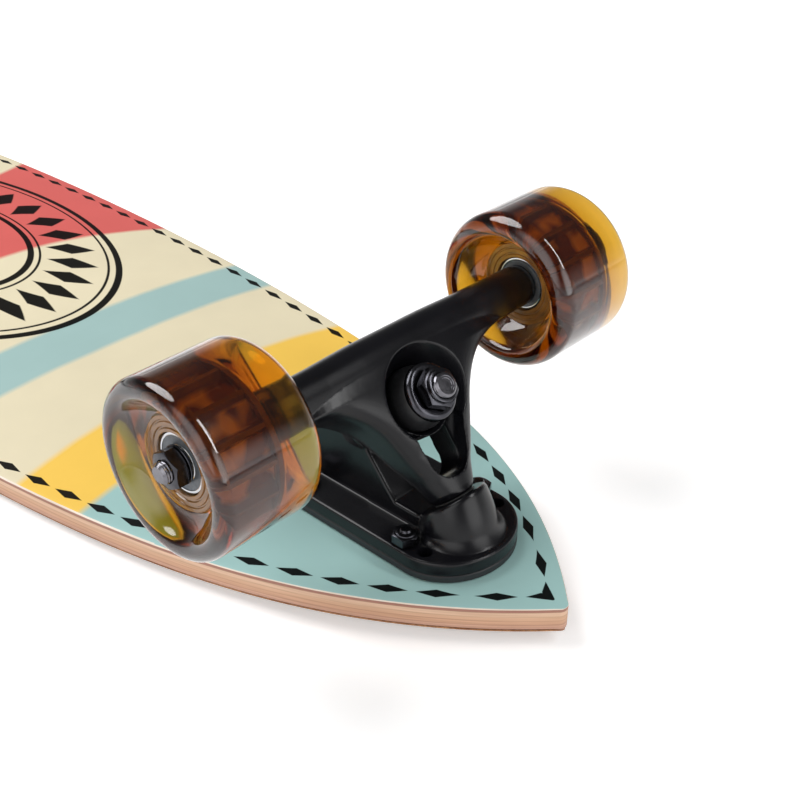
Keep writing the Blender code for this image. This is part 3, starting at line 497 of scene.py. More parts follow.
def deck_face():
    """The printed side: bands, a row of diamonds along the rails and a sun in the middle."""
    look = Shader("deck_print", Roughness=0.4, Specular_IOR_Level=0.08)
    colour, x, y = band_print(look)
    off_row = look.math("SUBTRACT", look.attribute("edge"), ROW_INSET)
    border = diamonds(look, look.attribute("row"), off_row, ROW_PERIOD, *ROW_DIAMOND, 0.04)
    from_sun = look.math("MULTIPLY", look.math("SUBTRACT", x, SUN_X), SUN_SCALE[0])
    aside = look.math("MULTIPLY", y, SUN_SCALE[1])
    spot = look.node("CombineXYZ", {"X": from_sun, "Y": aside})
    radius = look.length(spot.outputs[0])
    turn = look.math("MULTIPLY", look.math("ARCTAN2", aside, from_sun), SUN_RAYS / math.pi)
    rays = diamonds(look, turn, look.math("SUBTRACT", radius, SUN_RAY_RADIUS), 2.0, *SUN_RAY)
    rings = 0.0
    for centre, half in SUN_RINGS:
        off = look.math("ABSOLUTE", look.math("SUBTRACT", radius, centre))
        rings = look.math("MAXIMUM", rings, look.ramp(off, half + 0.15, half - 0.15))
    ink = look.math("MAXIMUM", border, look.math("MAXIMUM", rays, rings))
    colour = look.mix(look.math("MULTIPLY", ink, 0.99), colour, INK)
    dust = look.mix(look.ramp(look.noise(25, 4), 0.3, 0.8), (0.93, 0.93, 0.93), (1, 1, 1))
    look.set("Base Color", look.mix(1.0, colour, dust, "MULTIPLY"))
    look.bump(look.noise(240, 3), 0.00002)
    return look.material


def deck_edge():
    """Sanded ply: pale and brown plies under a dyed one, and a painted highlight at the print."""
    look = Shader("ply_edge", Roughness=0.5)
    grain = look.noise(30, 5, (1, 1, 40), 0.6)
    wobble = look.math("MULTIPLY_ADD", look.noise(18, 3), 0.05, -0.025)
    # The ramp's first pale band, next to the print, is a painted highlight on the rail's rounded
    # top edge
    plies_and_highlight = look.node("ValToRGB", {"Fac": look.math("ADD", look.attribute("ply"), wobble)})
    points = plies_and_highlight.color_ramp.elements
    while len(points) < len(PLIES_AND_EDGE_HIGHLIGHT):
        points.new(0.5)
    for point, (depth, colour) in zip(points, PLIES_AND_EDGE_HIGHLIGHT):
        point.position = depth
        point.color = (*srgb(*colour), 1)
    fibre = look.mix(look.ramp(grain, 0.35, 0.7), (0.86, 0.81, 0.77), (1.08, 1.08, 1.08))
    look.set("Base Color", look.mix(1.0, plies_and_highlight.outputs["Color"], fibre, "MULTIPLY"))
    look.bump(grain, 0.00008)
    return look.material


def veneer(name, grit):
    """The standing side's wood, with clear grit over it or bare."""
    look = Shader(name, Roughness=0.75 if grit else 0.45)
    streak = look.noise(14, 6, (1, 14, 1), 0.62)
    fine = look.noise(60, 4, (1, 22, 1), 0.6)
    wood = look.mix(look.ramp(streak, 0.32, 0.7), srgb(150, 98, 62), srgb(206, 158, 112))
    look.set("Base Color", look.mix(look.ramp(fine, 0.35, 0.9), wood, srgb(120, 78, 50)))
    if grit:
        look.bump(look.noise(1400, 2), 0.00035, 0.9)
    else:
        look.bump(fine, 0.00006)
    return look.material


# Deck and grip

def half_width(x):
    """The deck's half-width, with its tips rounded off."""
    nose = x > WIDEST_X
    reach = NOSE_TIP - WIDEST_X if nose else NOSE_TIP + WIDEST_X
    slimness = NOSE_SLIMNESS if nose else TAIL_SLIMNESS
    run = min(abs(x - WIDEST_X) / reach, 1)
    full = 1 - slimness * run ** 2 - (1 - slimness) * run ** TIP_POWER
    width = TIP_HALF_WIDTH + (HALF_WIDTH - TIP_HALF_WIDTH) * full
    slope = (HALF_WIDTH - TIP_HALF_WIDTH) * (TIP_POWER - (TIP_POWER - 2) * slimness) / reach
    lean = math.sin(math.atan(slope))
    radius = TIP_HALF_WIDTH / slope / (1 / lean - 1)
    into = max(0, NOSE_TIP - abs(x))
    if into > radius * (1 - lean):
        return width
    return math.sqrt(max(0, radius ** 2 - (radius - into) ** 2))


def concave(y):
    past = max(0, abs(y) - FLAT_HALF_WIDTH) / (HALF_WIDTH - FLAT_HALF_WIDTH)
    return CONCAVE_DEPTH * past ** 2


def stations(count=90):
    """Places along the board, closer together toward the tips."""
    reach = NOSE_TIP - 0.01 * MM
    return [reach * math.sin(math.pi / 2 * math.sin(math.pi / 2 * i / count))
            for i in range(-count, count + 1)]


# From the rail's round to the outer points of a section, in millimetres
INSETS = [0, 2, 4, 5.5, 6.9, 8.3, 10, 13, 16, 20]


def columns(width, rim):
    """Distances from the middle line, from the rail's round to the middle."""
    inner = width - rim
    scale = min(1, inner / (26 * MM))
    outer = [inner - inset * MM * scale for inset in INSETS]
    last = outer[-1]
    return outer + [last * (1 - i / 8) for i in range(1, 9)]


def board_mesh(low, high, top_round, low_round, inset=0.0):
    """The concave board between two levels of its middle, with rounded rails."""
    rings = []
    for x in stations():
        width = max(half_width(x) - inset, 0.01 * MM)
        squeeze = min(1, width / (4 * MM))
        rim, foot = top_round * squeeze, low_round * squeeze
        half = [(y, high - concave(y)) for y in reversed(columns(width, rim))]
        half += arc(width - rim, high - concave(width) - rim, rim, 90, 0, 4)[1:]
        half += arc(width - foot, low - concave(width) + foot, foot, 0, -90, 4)
        half += [(y, low - concave(y)) for y in columns(width, foot)[1:]]
        other = [(-y, z) for y, z in reversed(half[1:-1])]
        rings.append([Vector((x, y, z)) for y, z in half + other])
    return lofted(rings, sharp=180)


def outline_distance(points):
    """Each point's distance to the rail and how far along the rail it lies, from the nose."""
    xs = np.sin(np.linspace(np.pi / 2, -np.pi / 2, 4001)) * (NOSE_TIP - 1e-6)
    rail = np.array([(x, half_width(x)) for x in xs])
    steps = np.hypot(*np.diff(rail, axis=0).T)
    run = np.concatenate([[0], np.cumsum(steps)])
    edge, along = [], []
    for x, y in points:
        gaps = (rail[:, 0] - x) ** 2 + (rail[:, 1] - abs(y)) ** 2
        nearest = int(np.argmin(gaps))
        edge.append(math.sqrt(gaps[nearest]))
        along.append(run[nearest])
    return np.array(edge) / MM, np.array(along) / MM


def deck_holes(profile):
    """A cutter of this profile at each of the eight bolts."""
    return [moved(turned(profile, 24), Matrix.Translation((x + facing * along, across, 0)))
            for x, facing in TRUCKS.values() for along, across in BOLTS]


def deck_mesh():
    sink = DECK_LOW / MM + BOLT_SINK
    holes = deck_holes([(5.0, -30), (5.0, sink), (2.7, sink + 2.3), (2.7, 30)])
    mesh = combined(board_mesh(DECK_LOW, DECK_SEAT, 0.8 * MM, 1.5 * MM), cuts=holes)
    spots = np.zeros(3 * len(mesh.vertices))
    mesh.vertices.foreach_get("co", spots)
    spots = spots.reshape(-1, 3)
    edge, along = outline_distance(spots[:, :2])
    past = np.clip((along - ROW_START) / 4, 0, 1)
    across = np.clip(edge, 0, ROW_START) * (1 - past) + ROW_INSET * past
    row = along - across / ROW_MITRE
    row -= ROW_SHIFT * np.clip((row - 26) / 8, 0, 1)
    drop = np.array([concave(y) for y in spots[:, 1]])
    ply = (DECK_SEAT - drop - spots[:, 2]) / DECK_THICKNESS
    for name, values in (("edge", edge), ("row", row), ("ply", ply)):
        attribute = mesh.attributes.new(name, "FLOAT", "POINT")
        attribute.data.foreach_set("value", values.astype(np.float32))
    for look in (deck_face(), deck_edge(), veneer("deck_veneer", False)):
        mesh.materials.append(look)
    for face in mesh.polygons:
        levels = [ply[i] for i in face.vertices]
        printed, bare = max(levels) < 0.01, min(levels) > 0.995
        face.material_index = 0 if printed else 2 if bare else 1
    return mesh


# Hardware

def threaded(radius, depth, pitch, low, high, facets, steps=8):
    """Rings of a screw thread, all in millimetres: its crest winds round the shaft."""
    rings = []
    for share in shares(round((high - low) / pitch * steps)):
        height = low + (high - low) * share
        phases = [(height / pitch - i / facets) % 1 for i in range(facets)]
        rings.append(circle([radius - depth * (1 - abs(2 * phase - 1)) for phase in phases],
                            height))
    return rings


def hex_nut(flats, bore, low, high, collar=None):
    """A nut with both faces chamfered. A collar has its radius and its top."""
    corner = flats / 2 / math.cos(math.pi / 6)
    prism = turned([(corner, low), (corner, high)], 6)
    face = flats / 2 * 0.97
    slope = (corner - face) * math.tan(math.radians(30))
    profile = [(face, low), (corner + 0.02, low + slope), (corner + 0.02, high - slope),
               (face, high)]
    radius, top = collar or (face, high)
    cap = [(radius, high - 1), (radius, top - 0.5), (radius - 0.15, top - 0.15),
           (radius - 0.5, top)]
    joins = [turned(cap, 48)] if collar else []
    hole = [(bore, low - 1), (bore, top + 1)]
    return combined(combined(prism, common=[turned(profile, 60)]), joins, [turned(hole, 36)])


def bolt_mesh():
    """A countersunk bolt with a cross recess in its head, and its nut."""
    sunk = DECK_LOW / MM - DECK_SEAT / MM + BOLT_SINK
    low = FLANGE_TOP / MM + 0.1
    high, thread = low + BOLT_NUT_HEIGHT, low - 4
    end = high + BOLT_END
    head = [(4.5, sunk), (4.7, sunk + 0.2), (BOLT_RADIUS, sunk + 0.2 + BOLT_CONE),
            (BOLT_RADIUS, thread)]
    shaft = lofted(rings_of(head, 36) + threaded(BOLT_RADIUS, 0.28, 0.8, thread, end - 0.4, 36)
                   + rings_of([(1.95, end)], 36))
    nut = hex_nut(9.5, 2.3, low, high, (4.0, high + 0.6))
    slots = [lofted([section(width * MM, (sunk - 1) * MM, (sunk + 1.3) * MM, 8, x * MM, 16)
                     for x in (-length, length)])
             for width, length in ((0.45, 2.1), (2.1, 0.45))]
    return combined(combined(shaft, cuts=slots), [nut])


def kingpin_mesh():
    """A bolt with a round head in its pocket and a grooved, threaded end."""
    seat, end = HOUSING_FACE / MM - KINGPIN_HEAD - 0.3, KINGPIN_END
    shaft = [(6.4, seat - 5), (6.9, seat - 4.6), (6.9, seat), (KINGPIN_RADIUS, seat),
             (KINGPIN_RADIUS, KINGPIN_THREAD)]
    groove = [(3.9, end), (3.3, end), (3.1, end - 0.2), (2.5, end - 0.2), (2.3, end - 0.4),
              (0.9, end - 0.4)]
    thread = threaded(KINGPIN_RADIUS, 0.5, 1.35, KINGPIN_THREAD, end - 0.5, 48)
    return lofted(rings_of(shaft, 48) + thread + rings_of(groove, 48))


def bushing_mesh(side):
    """A barrel below the ring, or above it a cone with a neck for the cupped washer."""
    start, end, wide = BUSHING_START, BUSHING_END, BUSHING_RADIUS
    profile = [(KINGPIN_BORE, start), (wide - 0.5, start), (wide - 0.1, start + 0.15),
               (wide, start + 0.5)]
    if side < 0:
        profile += [(wide, start + 4), (12.1, start + 7), (11.6, end - 0.9), (11.3, end - 0.3)]
    else:
        profile += [(wide, start + 4.6), (12.1, start + 5.6), (9.9, end - 2.2), (9.45, end - 1.7)]
    profile += [(profile[-1][0] - 0.2, end), (KINGPIN_BORE, end)]
    return turned([(radius, side * level) for radius, level in profile], hollow=True)


def cup_washer_mesh():
    """A cupped washer: a round shoulder, a wall past the bushing's end and a flat face."""
    low, high, skirt, rounding = WASHER_START, WASHER_START + 1.6, WASHER_START - 1.3, 2.2
    inside, outside = 9.9, 11.2
    profile = [(KINGPIN_BORE, low), (inside, low), (inside, skirt + 0.1), (inside + 0.1, skirt),
               (outside - 0.2, skirt), (outside, skirt + 0.2)]
    profile += arc(outside - rounding, high - rounding, rounding, 0, 90, 10)
    profile += [(8.3, high - 0.05), (7.9, high - 0.18), (KINGPIN_BORE, high - 0.18)]
    return turned(profile, hollow=True, sharp=50)


def flat_washer_mesh():
    low, high, radius, edge = -WASHER_START - 1.8, -WASHER_START, 14.0, 0.3
    profile = [(KINGPIN_BORE, low), (radius - edge, low), (radius, low + edge),
               (radius, high - edge), (radius - edge, high), (KINGPIN_BORE, high)]
    return turned(profile, hollow=True)


def pivot_cup_mesh():
    """A soft cup with a lip, along the pivot axis."""
    profile = [(3.5, 47.8), (5.9, 46.0), (5.9, 39.2), (7.9, 39.2), (8.1, 39.4), (8.1, 49.8),
               (3.0, 49.8)]
    return moved(turned(profile, 64, hollow=True), about_x())


def axle_line():
    """The axle's line in the hanger's frame."""
    return Matrix.Translation((-AXLE_TO_KINGPIN, 0, RAKE)) @ about_y()


def axle_mesh():
    first, second = [threaded(AXLE_RADIUS, 0.35, 1.05, low, high, 40) for low, high in
                     ((1 - AXLE_END, -AXLE_THREAD), (AXLE_THREAD, AXLE_END - 1))]
    tips = rings_of([(2.9, -AXLE_END), (2.9, AXLE_END)], 40)
    return moved(lofted([tips[0], *first, *second, tips[1]]), axle_line())


# Castings

def yoke_half_width(x):
    centre_x = BEAM_RADIUS - AXLE_TO_KINGPIN + YOKE_FILLET
    slope = math.hypot(1, YOKE_TAPER)
    centre_y = YOKE_END_HALF_WIDTH + YOKE_TAPER * (YOKE_END - centre_x) + YOKE_FILLET * slope
    if x > centre_x - YOKE_FILLET * YOKE_TAPER / slope:
        return YOKE_END_HALF_WIDTH + YOKE_TAPER * (YOKE_END - x)
    offset = min(centre_x - x, YOKE_FILLET)
    return centre_y - math.sqrt(YOKE_FILLET ** 2 - offset ** 2)


def yoke_mesh():
    """From the beam to a round end, and the pivot pin on it."""
    beam_low, beam_high = RAKE - BEAM_RADIUS, RAKE + BEAM_MIDDLE_RADIUS
    start = GAP - AXLE_TO_KINGPIN
    rings = []
    for share in shares(40):
        share = share ** 1.2
        x = start + share * (YOKE_END - start)
        low = beam_low + GAP - (YOKE_END_RADIUS + beam_low) * eased(share / 0.3)
        crown = 1.3 * MM * math.sin(math.pi * min(1, 1.5 * share))
        high = beam_high - GAP + (YOKE_END_RADIUS - beam_high) * share ** 1.35 + crown
        edge = 2.3 + 2.7 * math.sin(math.pi * min(1, share * 1.15))
        rings.append(section(yoke_half_width(x), low, high, edge, x, 96))
    for radius, x in ((8.0, 38.9), (5.6, 38.9), (5.6, 45.5), (3.2, 47.5)):
        rings.append(section(radius * MM, -radius * MM, radius * MM, 2, x * MM, 96))
    return lofted(rings)


def ring_cutter():
    """Both bushing seats, the bore between them and the flared pocket above."""
    top = (RAKE + BEAM_MIDDLE_RADIUS) / MM
    pocket, shift = 20.5, Vector((1.5 * MM, 0, 0))
    profile = [(RING_SEAT + 0.5, -top), (RING_SEAT, -RING_TOP), (RING_BORE, -RING_TOP),
               (RING_BORE, RING_TOP), (RING_SEAT, RING_TOP), (RING_SEAT, RING_LIP)]
    mouth = rings_of([(pocket, top), (pocket, top + 2.6)], 96)
    return lofted(rings_of(profile, 96) + [[point + shift for point in ring] for ring in mouth])


def window_outline(half, end_round, end, level):
    """From the ring's wall along both legs to a round end, in millimetres."""
    wall = RING_SEAT + 1.9
    spread = math.degrees(math.asin(half / wall))
    outline = arc(0, 0, wall, spread, -spread, 12)
    outline += arc(end - end_round, 0, end_round, -90, 90, 20)
    return [Vector((x * MM, y * MM, level * MM)) for x, y in outline]


def hanger_mesh():
    """The beam round the axle and the yoke, with its ring, window and pivot pin."""
    outer = [(9.6, 14), (9.55, 20), (9.3, 28), (8.95, 38), (8.5, 74.6), (8.2, 75.3), (7.6, 75.5)]
    profile = [(radius, -along) for radius, along in reversed(outer)] + outer
    beam = moved(turned(profile), axle_line())
    bore = moved(turned([(AXLE_BORE, -90), (AXLE_BORE, 90)], 36), axle_line())
    # The window and its flared mouth: half width, radius of the end and where it ends
    hole, mouth = (9.2, 8.6, 31.3), (14.0, 10.8, 32.3)
    window = lofted([window_outline(*hole, -30), window_outline(*hole, 4),
                     window_outline(*mouth, 11), window_outline(*mouth, 30)])
    return cast(combined(beam, [yoke_mesh()], [ring_cutter(), window, bore]))


def plate_ring(height, inset=0.0):
    """The riser's and the flange's outline: straight sides and round ends."""
    end = arc(PLATE_STRAIGHT, 0, PLATE_END - inset, -90, 90, 32, PLATE_HALF_WIDTH - inset)
    return [Vector((side * x, side * y, height)) for side in (1, -1) for x, y in end]


def plate_holes(low, high, radius=2.9):
    """Cutters for the four bolts and for the two spare holes of the longer pattern."""
    return [moved(turned([(radius, low), (radius, high)], 32), Matrix.Translation((x, y, 0)))
            for x, y in BOLTS + [(LONG_BOLT_X, BOLT_Y), (LONG_BOLT_X, -BOLT_Y)]]


def riser_mesh():
    edge = 0.35 * MM
    slab = lofted([plate_ring(GAP, edge), plate_ring(GAP + edge), plate_ring(RISER_TOP - edge),
                   plate_ring(RISER_TOP, edge)])
    return combined(slab, cuts=plate_holes(-1, 5))


def housing_front(height):
    """Where the housing's sloping face is at this height."""
    face = kingpin_frame() @ Vector((0, 0, HOUSING_FACE))
    return face.x - (height - face.z) / math.tan(KINGPIN_ANGLE)


def housing_ring(half, back, front, height):
    """A level section: crisp corners in front and a round back."""
    corner = 1 * MM
    reach = min(14 * MM, (front - back) / 2)
    outline = arc(front - corner, corner - half, corner, 0, -90, 4)
    outline += arc(back + reach, 0, reach, -90, -270, 36, half)
    outline += arc(front - corner, half - corner, corner, 90, 0, 4)
    return [Vector((x, y, height)) for x, y in outline]


def housing_mesh():
    """The wedge behind the kingpin: a sloping face, a bulging back and a narrower top."""
    top = (kingpin_frame() @ Vector((-SEAT_RADIUS, 0, HOUSING_FACE))).z
    crest = housing_front(top) - 7 * MM
    half_foot, back_reach, bulge_power = 12 * MM, 50 * MM, 1.3
    rings = []
    for share in shares(32):
        height = CASTING_FOOT + share * (top - CASTING_FOOT)
        flare = 1.6 * MM * max(0, 1 - share / 0.05) ** 2
        front = housing_front(height) - GAP + flare
        bulge = (1 - share ** bulge_power) ** (1 / bulge_power)
        back = crest - (back_reach + crest) * bulge - flare
        half = half_foot * (1 - 0.25 * max(0, 5 * share - 4))
        rings.append(housing_ring(half + flare, back, front, height))
    return lofted(rings)


def bridge_mesh():
    """The block on the flange that joins the housing to the boss."""
    rings, corner = [], 1.6
    for height, grow in ((8.3, 1.6), (9.0, 0.9), (9.9, 0.3), (14.1, 0), (14.7, -0.3), (15, -0.9)):
        half, reach = 12 + grow, 26.5 + grow
        outline = [(0, -half), (reach - corner, -half), (reach, corner - half),
                   (reach, half - corner), (reach - corner, half), (0, half)]
        rings.append([Vector((x * MM, y * MM, height * MM)) for x, y in outline])
    return lofted(rings)


def boss_mesh():
    """The boss round the pivot cup, from its tilted mouth to its foot on the flange."""
    to_truck = kingpin_frame()
    mouth, mouth_radius = PIN_START + 0.6 * MM, 12.9 * MM
    foot_x, foot_length, foot_width = 35 * MM, 16.5 * MM, 14.8 * MM
    flare_start = 0.72
    rings, facets = [], 96
    for share in shares(24):
        flare = (max(0, share - flare_start) / (1 - flare_start)) ** 2
        bulge = 0.8 * MM * math.sin(math.pi * share)
        radius = mouth_radius - 0.9 * MM * max(0, 1 - share * 14) ** 2
        ring = []
        for i in range(facets):
            angle = 2 * math.pi * i / facets
            along, across = math.cos(angle), math.sin(angle)
            top = to_truck @ Vector((mouth, across * radius, along * radius))
            foot = Vector((foot_x + foot_length * along, foot_width * across, CASTING_FOOT))
            spread = Vector((along * (2 * MM * flare + bulge), across * (4.8 * MM * flare + bulge),
                             0))
            ring.append(top.lerp(foot, share) + spread)
        rings.append(ring)
    return lofted(rings)


def baseplate_mesh():
    """The flange with its housing, bridge, bushing seat and boss, and what is cut into them."""
    edge = 0.9 * MM
    flange = [plate_ring(FLANGE_LOW)] + [plate_ring(height, edge - across) for across, height
                                         in arc(0, FLANGE_TOP - edge, edge, 0, 90, 4)]
    face, rim = HOUSING_FACE / MM, SEAT_RADIUS / MM
    cone = [(9.5, face - 17), (rim - 0.3, face - 2.4), (rim, face - 2), (rim, face)]
    seat = moved(turned(cone), kingpin_frame())
    below = plate_ring(FLANGE_LOW, -20 * MM)
    under = lofted([below, [point - Vector((0, 0, 60 * MM)) for point in below]])
    joins = [housing_mesh(), bridge_mesh(), seat, boss_mesh()]
    shape = cast(combined(lofted(flange), joins, [under]))
    head, deep, shelf = 8.9, face - 31.2, face - KINGPIN_HEAD
    bore = [(head, deep), (head, shelf), (KINGPIN_BORE, shelf), (KINGPIN_BORE, face + 4)]
    stepped = moved(turned(bore, 48), kingpin_frame())
    centre = kingpin_frame() @ Vector((0, 0, deep * MM))
    pocket = moved(turned([(head, 0), (head, centre.z / MM)], 36),
                   Matrix.Translation((centre.x, 0, 0)))
    cup = moved(turned([(8.4, 37.9), (8.4, 50.1)], 48), kingpin_frame() @ about_x())
    nuts = [moved(turned([(5.8, 9.0), (5.8, 21.6)], 36), Matrix.Translation((x, y, 0)))
            for x, y in BOLTS]
    return combined(shape, cuts=[stepped, pocket, cup, *nuts, *plate_holes(2, 12)])


# Wheels, about Z with the wheel's inner face at zero

def tyre_mesh():
    """Cast urethane: rounded lips, dished faces and a bore keyed between the core's fins."""
    profile = [(17.3, CORE_LOW / MM), (18.0, 11.75), (19.36, 10.15), (20.58, 8.44),
               (21.65, 6.63), (22.55, 4.74), (23.29, 2.77), (23.8, 1.4), (24.5, 0.6),
               (25.3, 0.15), (26.0, 0.03)]
    profile += arc(26.0, 6.5, 6.5, -90, 0, 12)[1:]
    profile += [(32.5, 7.2), (32.5, 39.3), *arc(28.1, 40.0, 4.4, 0, 90, 10)]
    profile += [(26.9, 44.3), (26.1, 43.95), (25.4, 43.3), (24.5, 41.9), (23.2, 40.0),
                (21.6, 38.3), (19.6, 36.9), (18.3, 36.3), (17.3, CORE_HIGH / MM)]
    profile += [(17.0, CORE_HIGH / MM - 0.8), (13.2, CORE_HIGH / MM - 1.4),
                (13.2, CORE_LOW / MM + 1.4), (17.0, CORE_LOW / MM + 0.8)]
    return turned(profile, 160, hollow=True, sharp=60)


def core_mesh(fins=10):
    """Two grooved rings joined by fins, with a shoulder between the bearings' seats."""
    low, high = CORE_LOW / MM, CORE_HIGH / MM
    facets = 16 * fins
    face = [(11.3, 0.2), (11.5, 0), (12.6, 0), (12.9, 0.5), (13.3, 0.5), (13.6, 0), (14.9, 0),
            (15.2, 0.4), (15.6, 0.4), (15.9, 0), (17.1, 0), (17.35, 0.25)]
    waist, fin, shoulder = 13.4, 3.6, 9.2
    lower = [(radius, low + depth) for radius, depth in face] + [(17.35, low + 2.2)]
    upper = [(17.35, high - 2.2)] + [(radius, high - depth) for radius, depth in reversed(face)]
    inside = [(11.3, 28.2), (shoulder, 28.2), (shoulder, 20.8), (11.3, 20.8)]
    phases = [abs((i / facets * fins) % 1 - 0.5) * 2 for i in range(facets)]
    radii = [waist + fin * eased((phase - 0.7) / 0.12) for phase in phases]
    middle = [circle(radii, height) for height in (low + 2.3, high - 2.3)]
    return lofted(rings_of(lower, facets) + middle + rings_of(upper + inside, facets), hollow=True)


def bearing_mesh():
    """A race with rounded corners and a shield set in from its open face."""
    profile = [(AXLE_BORE, 0), (10.7, 0), (BEARING_RADIUS, 0.3), (BEARING_RADIUS, 6.7),
               (10.85, 6.92), (10.6, 7), (10.1, 7), (9.95, 6.9), (9.9, 6.5), (9.7, 6.4),
               (6.5, 6.4), (6.3, 6.6), (4.4, 6.6), (AXLE_BORE, 6.5)]
    return turned(profile, hollow=True)


def sleeve_mesh(radius, length, edge=0.15):
    """A ring round the axle with broken edges."""
    profile = [(AXLE_BORE, 0), (radius - edge, 0), (radius, edge), (radius, length - edge),
               (radius - edge, length), (AXLE_BORE, length)]
    return turned(profile, 72, hollow=True)


# Assembly

# What the kingpin's angle tilts, and what sits on the axle's ends: its kind and how far from
# the board's middle line, in millimetres
TILTED = ("kingpin", "kingpin_nut", "boardside_bushing", "roadside_bushing", "boardside_washer",
          "roadside_washer", "pivot_cup", "hanger", "axle")
AXLE_STACK = {"tyre": ("tyre", HUB_FACE / MM), "core": ("core", HUB_FACE / MM),
              "inner_bearing": ("bearing", 75.8), "outer_bearing": ("bearing", 90.8),
              "spacer": ("spacer", 83.1), "speed_washer": ("speed_washer", 98.1),
              "axle_nut": ("axle_nut", 99.3)}


def parts():
    """One fine mesh for each repeated piece."""
    return {"riser": riser_mesh(), "baseplate": baseplate_mesh(), "bolt": bolt_mesh(),
            "kingpin": kingpin_mesh(),
            "kingpin_nut": hex_nut(14.3, KINGPIN_BORE, 18.7, 23.3, (6.3, 24.6)),
            "boardside_bushing": bushing_mesh(-1), "roadside_bushing": bushing_mesh(1),
            "boardside_washer": flat_washer_mesh(), "roadside_washer": cup_washer_mesh(),
            "pivot_cup": pivot_cup_mesh(), "hanger": hanger_mesh(), "axle": axle_mesh(),
            "tyre": tyre_mesh(), "core": core_mesh(), "bearing": bearing_mesh(),
            "spacer": sleeve_mesh(5.6, 7.4), "speed_washer": sleeve_mesh(7, 0.9),
            "axle_nut": hex_nut(12.7, AXLE_BORE, 0, 5.0)}


def looks():
    """Each repeated piece's look, named as its slot."""
    paint = grained("black_paint", (0.003, 0.003, 0.004), (0.006, 0.006, 0.008), (60, 3),
                    (900, 2, 0.00001), (0.2, 0.3), Specular_IOR_Level=0.35)
    plastic = grained("riser_plastic", (0.012, 0.012, 0.014), (0.024, 0.024, 0.027), (500, 3),
                      (1100, 2, 0.00003), (0.4, 0.6))
    steel = metal("bright_steel", srgb(92, 92, 98), srgb(150, 148, 154), (0.16, 0.32))
    dark = metal("dark_steel", srgb(44, 44, 48), srgb(96, 96, 102), (0.16, 0.3))
    race = metal("bearing_steel", srgb(190, 192, 196), srgb(228, 229, 232), (0.12, 0.24))
    soft = rubber("black_urethane", (0.01, 0.01, 0.011), (0.02, 0.02, 0.022), 0.38)
    cup = rubber("cup_urethane", (0.02, 0.02, 0.02), (0.04, 0.04, 0.04), 0.45)
    return {"riser": plastic, "baseplate": paint, "hanger": paint, "bolt": dark,
            "kingpin": steel, "kingpin_nut": dark, "axle": steel, "boardside_bushing": soft,
            "roadside_bushing": soft, "boardside_washer": steel, "roadside_washer": dark,
            "pivot_cup": cup, "tyre": urethane(), "core": core_plastic(), "bearing": race,
            "spacer": steel, "speed_washer": dark, "axle_nut": dark}


def shield_bearing(mesh, race):
    """The race's steel on a bearing, and grey, finely brushed steel on its open face."""
    shield = grained("bearing_shield", srgb(92, 97, 104), srgb(138, 144, 150), (900, 3),
                     (1600, 2, 0.00002), Metallic=0.5, Roughness=0.45, Specular_IOR_Level=0.2)
    for look in (race, shield):
        mesh.materials.append(look.material)
    for face in mesh.polygons:
        if 6.4 * MM < face.center.xy.length < 9.85 * MM and face.center.z > 6 * MM:
            face.material_index = 1


def add(node, kind, where):
    look = LOOKS[kind]
    place(node, SHAPES[kind], where, look.material)


def make_truck(end):
    facing = TRUCKS[end][1]
    mount = truck_frame(end)
    for kind in ("riser", "baseplate"):
        add(f"{end}_{kind}", kind, mount)
    for number, (along, across) in enumerate(BOLTS, start=1):
        add(f"{end}_bolt_{number}", "bolt", mount @ Matrix.Translation((along, across, 0)))
    for kind in TILTED:
        add(f"{end}_{kind}", kind, mount)
    for side in ("left", "right"):
        make_wheel(f"{end}_{side}", mount @ hub_frame(side, facing))


def make_wheel(name, hub):
    """What sits on one end of the axle. The inner bearing's shield faces the hanger."""
    flip = Matrix.Translation((0, 0, BEARING_WIDTH)) @ Matrix.Rotation(math.pi, 4, "X")
    for node, (kind, distance) in AXLE_STACK.items():
        where = hub @ Matrix.Translation((0, 0, distance * MM))
        if node == "inner_bearing":
            where = where @ flip
        elif node == "axle_nut":
            where = where @ Matrix.Rotation(math.radians(30), 4, "Z")
        add(f"{name}_{node}", kind, where)


def make_board():
    place("deck", deck_mesh(), Matrix.Identity(4))
    grip = board_mesh(CONCAVE_DEPTH, CONCAVE_DEPTH + GRIP_THICKNESS, 0.05 * MM, 0.05 * MM,
                      0.9 * MM)
    place("grip_tape", combined(grip, cuts=deck_holes([(5.0, -5), (5.0, 12)])),
          Matrix.Identity(4), veneer("clear_grit", True))


# Every piece's fine shape and look, then the board and both trucks
SHAPES = parts()
for tilted in TILTED:
    moved(SHAPES[tilted], kingpin_frame())
LOOKS = looks()
shield_bearing(SHAPES["bearing"], LOOKS["bearing"])
make_board()
for truck in TRUCKS:
    make_truck(truck)


# Studio

FLOOR_HALF = 12.0
FLOOR_DROP = 0.2 * MM
# The floor's own light: for the camera, for all that is seen, and how far away it is white
FLOOR_GLOW, FLOOR_SEEN_GLOW = 0.22, 0.14
FLOOR_WHITE_FROM, FLOOR_WHITE_AT = 1.0, 3.0
HORIZON = 0.4
OVERHEAD = 0.08
# Soft glows: direction, the angle that is full, the angle where it ends, and its strength
GLOWS = [((0.2, -0.85, 0.45), 10, 40, 1.6), ((0.95, 0.12, 0.2), 8, 30, 2.2)]
AIM = (0.38, 0, 0.05)       # what the lamps point at, by the front truck
LAMP_DISTANCE = 1.7
CAMERA_PLACE = (0.6580, -0.2869, 0.31685)
CAMERA_RIGHT = (0.7110, 0.7031, -0.0140)
CAMERA_BACK = (0.6031, -0.5994, 0.5263)
CAMERA_LENS = 56.07
CAMERA_SHIFT = (0.0453, -0.0147)


